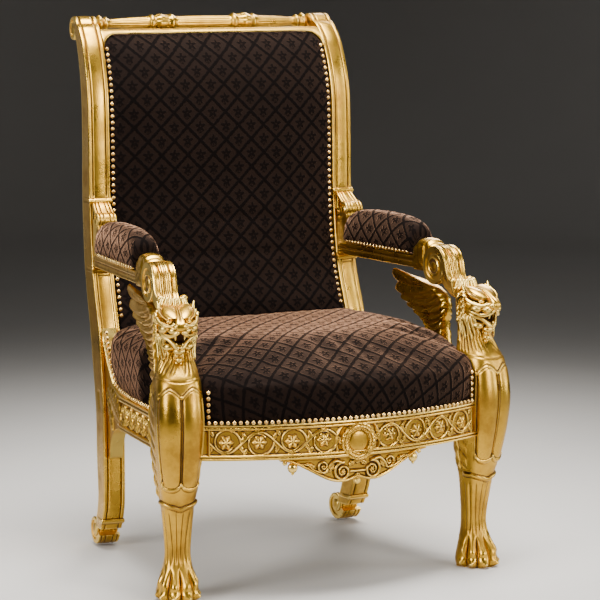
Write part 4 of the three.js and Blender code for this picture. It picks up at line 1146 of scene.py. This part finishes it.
def outsideBack():
    # cloth stretched flat over the back of the frame
    low, top = outsideLook["low"], outsideLook["top"]
    z = spans((low, top, 72))[:, None]
    share = np.concatenate([np.linspace(-1, 1, 40), np.linspace(1, -1, 12)])[None, :]
    face = (np.arange(52) < 40)[None, :]
    edge = (1 - share ** 8) * smooth(low, 368, z) * smooth(top, 1056, z)
    s = np.where(face, postBack(z) - 4.4 + 1.4 * edge, postBack(z) - 9)
    rings = backPoint(share, s, z, outsideLook["inset"])
    weave = joined(rings[..., 0], z, 0 * z).reshape(-1, 3)
    weave = np.concatenate([weave, weave[:2] * 0])
    piece = makePiece("outside_back_upholstery", [ringShell(rings)], ["outside_back"], velvet,
                      50, weave)
    return piece


padLook = dict(front=-69.0, back=204.0, half=34.0, base=631.0, top=710.0, fill=0.85, puff=5.0)


def armPad(side):
    # blunt-ended roll: girth and height swell from each end, the section flat below and domed above
    look = padLook
    a = np.linspace(0, math.pi, 46)[:, None]
    share = np.sign(np.cos(a)) * np.abs(np.cos(a)) ** 0.7
    s = (look["front"] + look["back"]) / 2 - (look["back"] - look["front"]) / 2 * share
    rise = np.clip(np.sin(a), 0, 1)
    girth = look["half"] * (0.7 + 0.3 * rise ** 0.5)
    height = (look["top"] - look["base"]) * (0.5 + 0.5 * rise ** 0.65)
    angle = circle(64)[None, :] - math.pi / 2
    c, n = np.cos(angle), np.sin(angle)
    t = girth * np.sign(c) * np.abs(c) ** 0.7
    z = look["base"] + height * np.where(n > 0, 0.3 + 0.7 * np.abs(n) ** 0.85, 0.3 * (1 - np.abs(n) ** 0.5))
    bend = 3 * bell(s, 204, 30)
    rings = fromSide(t, s - bend * (z > 650), z, side)
    girthWalk = np.concatenate([[0], np.hypot(np.diff(t[23]), np.diff(z[23])).cumsum()])[None, :] + 0 * s
    weave = joined(girthWalk, s, 0 * s).reshape(-1, 3)
    weave = np.concatenate([weave, weave[:2] * 0])
    word = sideWord(side)
    piece = makePiece(word + "_pad_upholstery", [ringShell(rings)], [word + "_arm_pad"], velvet,
                      180, weave)
    held = np.concatenate([np.maximum(smooth(640, 632, z), 0 * t).ravel(), [1, 1]])
    swell(piece, held, 2.0, look["puff"])
    rounded(piece)
    return piece


print("cloth", [p.name for p in (seat(), insideBack(), outsideBack(), armPad(-1), armPad(1))])

nailSize = dict(radius=4.4, height=3.2, pitch=12.4, sidePitch=13.3, seatZ=357.5, legA=305, padZ=636,
                backRows=(362.0, 1062.0))


def nailRow(place, pitch, look):
    # domed heads stepped evenly along the line at place 0, each turned towards the line one proud of it
    line = place(0.0)
    out = place(1.0) - line
    walk = np.concatenate([[0], np.linalg.norm(np.diff(line, axis=0), axis=1).cumsum()])
    count = max(2, int(round(walk[-1] / pitch)) + 1)
    at = np.linspace(0, walk[-1], count)
    spots = np.stack([np.interp(at, walk, line[:, i]) for i in range(3)], -1)
    outs = np.stack([np.interp(at, walk, out[:, i]) for i in range(3)], -1)
    shells = []
    for spot, way in zip(spots, outs):
        way = way / np.linalg.norm(way)
        one = np.cross(way, (0.3, 0.5, 0.8))
        one /= np.linalg.norm(one)
        two = np.cross(way, one)
        profile = [(0.9, -1.2), (1.0, 0.0), (0.93, 0.35), (0.7, 0.72), (0.36, 0.93), (0.05, 1.0)]
        table = [(r * look["radius"], h * look["height"]) for r, h in profile]
        shells.append(lathe(table, lambda x, y, h: (spot + x[..., None] * one + y[..., None] * two
                                                    + h[..., None] * way), 12))
    return shells


def nails():
    # heads along the seat's front and sides, up beside the legs, round the pads and down the back
    look, shells = nailSize, []
    near, apart = look["pitch"], look["sidePitch"]
    a = np.linspace(-304, 304, 200)
    shells += nailRow(lambda d: fromBow(a, 0.5 + d, look["seatZ"]), near, look)
    for side in (-1, 1):
        z = np.linspace(369, 417, 20)
        shells += nailRow(lambda d: fromBow(side * look["legA"], d - 1.5, z), near, look)
        curve = splineAt([(-128, 358), (-60, 358), (20, 359), (90, 367), (132, 398), (164, 444), (176, 470)],
                         np.linspace(0, 1, 200))
        shells += nailRow(lambda d: fromSide(13.5 + d, curve[:, 0], curve[:, 1], side), near, look)
        z = np.linspace(500, 1060, 200)
        shells += nailRow(lambda d: backPoint(side, postFront(z) + 3.5 - d, z, 7.5), apart, look)
        z = np.linspace(369, 1056, 200)
        shells += nailRow(lambda d: backPoint(side, postBack(z) - 3.6 + d, z, 9), apart, look)
        for way in (-1, 1):
            s = np.linspace(-52, 186, 100)
            bend = 2.0 + 4.5 * np.abs((s - 67) / 119) ** 4
            shells += nailRow(lambda d: fromSide(way * (33.5 + d - bend), s, look["padZ"], side), near, look)
        t = np.linspace(-18, 18, 30)
        shells += nailRow(lambda d: fromSide(t, -68 - d, look["padZ"] + 1, side), near, look)
    for z in look["backRows"]:
        share = np.linspace(-0.94, 0.94, 100)
        shells += nailRow(lambda d: backPoint(share, postBack(z + 0 * share) - 3.8 + d, z, 0.7), apart, look)
    return makePiece("nail_heads", shells, [], brass, 60)


print("nails", len(nails().data.polygons))

for name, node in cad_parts.items():
    if not node.hide_render and node.type == "MESH":
        soft = any(word in name for word in ("cushion", "pad", "inside", "outside"))
        node.data.materials.clear()
        node.data.materials.append(velvet if soft else gilt)

studio = dict(floor=(0.47, 0.455, 0.435, 1), reach=6.0, curve=2.5, world=0.09, spread=66.0,
              key=19.0, fill=13.0, left=30.0, top=72.0, rim=16.0, back=0.7)


def studioFloor(look):
    # pale round floor that curves up all round: disc, quarter circle, wall
    angle = np.linspace(0, math.pi / 2, 20)
    reach, curve = look["reach"], look["curve"]
    radius = np.concatenate([np.linspace(0.02, reach, 14), reach + curve * np.sin(angle),
                             np.full(4, reach + curve)])[:, None]
    height = np.concatenate([np.zeros(14), curve - curve * np.cos(angle), np.linspace(3, 7, 4)])[:, None]
    bearing = circle(96)[None, :]
    points = joined(radius * np.cos(bearing), radius * np.sin(bearing), height)
    index = np.arange(points[..., 0].size).reshape(points.shape[:2])
    low, high = index[:-1], index[1:]
    faces = np.stack([low, high, np.roll(high, -1, 1), np.roll(low, -1, 1)], -1).reshape(-1, 4)
    faces = faces.tolist() + [index[0].tolist()]
    points = points.reshape(-1, 3)
    mesh = bpy.data.meshes.new("studio_floor")
    mesh.from_pydata(points.tolist(), [], faces)
    mesh.polygons.foreach_set("use_smooth", np.ones(len(faces), bool))
    material, tree, shader = newMaterial("studio_paper")
    place = addNode(tree, "ShaderNodeTexCoord").outputs["Object"]
    cloud = addNode(tree, "ShaderNodeTexNoise", {"Vector": place, "Scale": 3.0, "Detail": 5.0})
    tone = tuple(c * 0.93 for c in look["floor"][:3]) + (1,)
    tree.links.new(between(tree, cloud.outputs[0], tone, look["floor"]), shader.inputs["Base Color"])
    shader.inputs["Roughness"].default_value = 0.85
    mesh.materials.append(material)
    floor = bpy.data.objects.new("studio_floor", mesh)
    scene.collection.objects.link(floor)


def turned(spot, aim):
    # tilt from straight down and bearing that point an object from its spot to its aim
    way = np.asarray(aim, float) - np.asarray(spot, float)
    return math.atan2(math.hypot(way[0], way[1]), -way[2]), 0, math.atan2(way[1], way[0]) - math.pi / 2


def areaLight(name, spot, aim, size, watts, tint):
    # rectangular soft light at a spot, turned to its aim
    lamp = bpy.data.lights.new(name, "AREA")
    lamp.shape = "RECTANGLE"
    lamp.size, lamp.size_y = size
    lamp.energy = watts
    lamp.spread = math.radians(studio["spread"])
    lamp.color = tint
    made = bpy.data.objects.new(name, lamp)
    made.location = spot
    made.rotation_euler = turned(spot, aim)
    scene.collection.objects.link(made)


cameraLook = dict(spot=(-2.37631, -5.02391, 1.29159), aim=(0.0618, 0.00617, 0.5392), lens=160.9)


def photoCamera(look):
    # long lens at the photograph's angle, level, aimed at the middle of the throne
    lens = bpy.data.cameras.new("photo_camera")
    lens.sensor_width = 36
    lens.lens = look["lens"]
    made = bpy.data.objects.new("photo_camera", lens)
    made.location = look["spot"]
    made.rotation_euler = turned(look["spot"], look["aim"])
    scene.collection.objects.link(made)
    scene.camera = made


studioFloor(studio)
photoCamera(cameraLook)
for name, spot, level, size, tint in (
        ("key", (1.5, -3.8, 1.7), 0.7, (1.5, 1.5), (1.0, 0.96, 0.9)),
        ("fill", (3.6, -1.6, 1.5), 0.6, (1.4, 2.4), (0.95, 0.97, 1.0)),
        ("left", (-3.6, -1.2, 2.0), 0.6, (1.6, 2.0), (1.0, 0.97, 0.93)),
        ("top", (0.1, -0.3, 3.4), 0.5, (2.4, 1.8), (1.0, 0.98, 0.95)),
        ("back", (-1.9, 4.0, 0.9), 0.6, (1.8, 1.6), (1.0, 0.96, 0.9)),
        ("rim", (2.2, 2.6, 2.4), 0.7, (1.4, 1.8), (1.0, 0.95, 0.88))):
    areaLight(name, spot, (0, 0, level), size, studio[name], tint)
world = bpy.data.worlds.new("studio_air")
scene.world = world
world.use_nodes = True
world.node_tree.nodes["Background"].inputs[0].default_value = (1, 0.98, 0.96, 1)
world.node_tree.nodes["Background"].inputs[1].default_value = studio["world"]
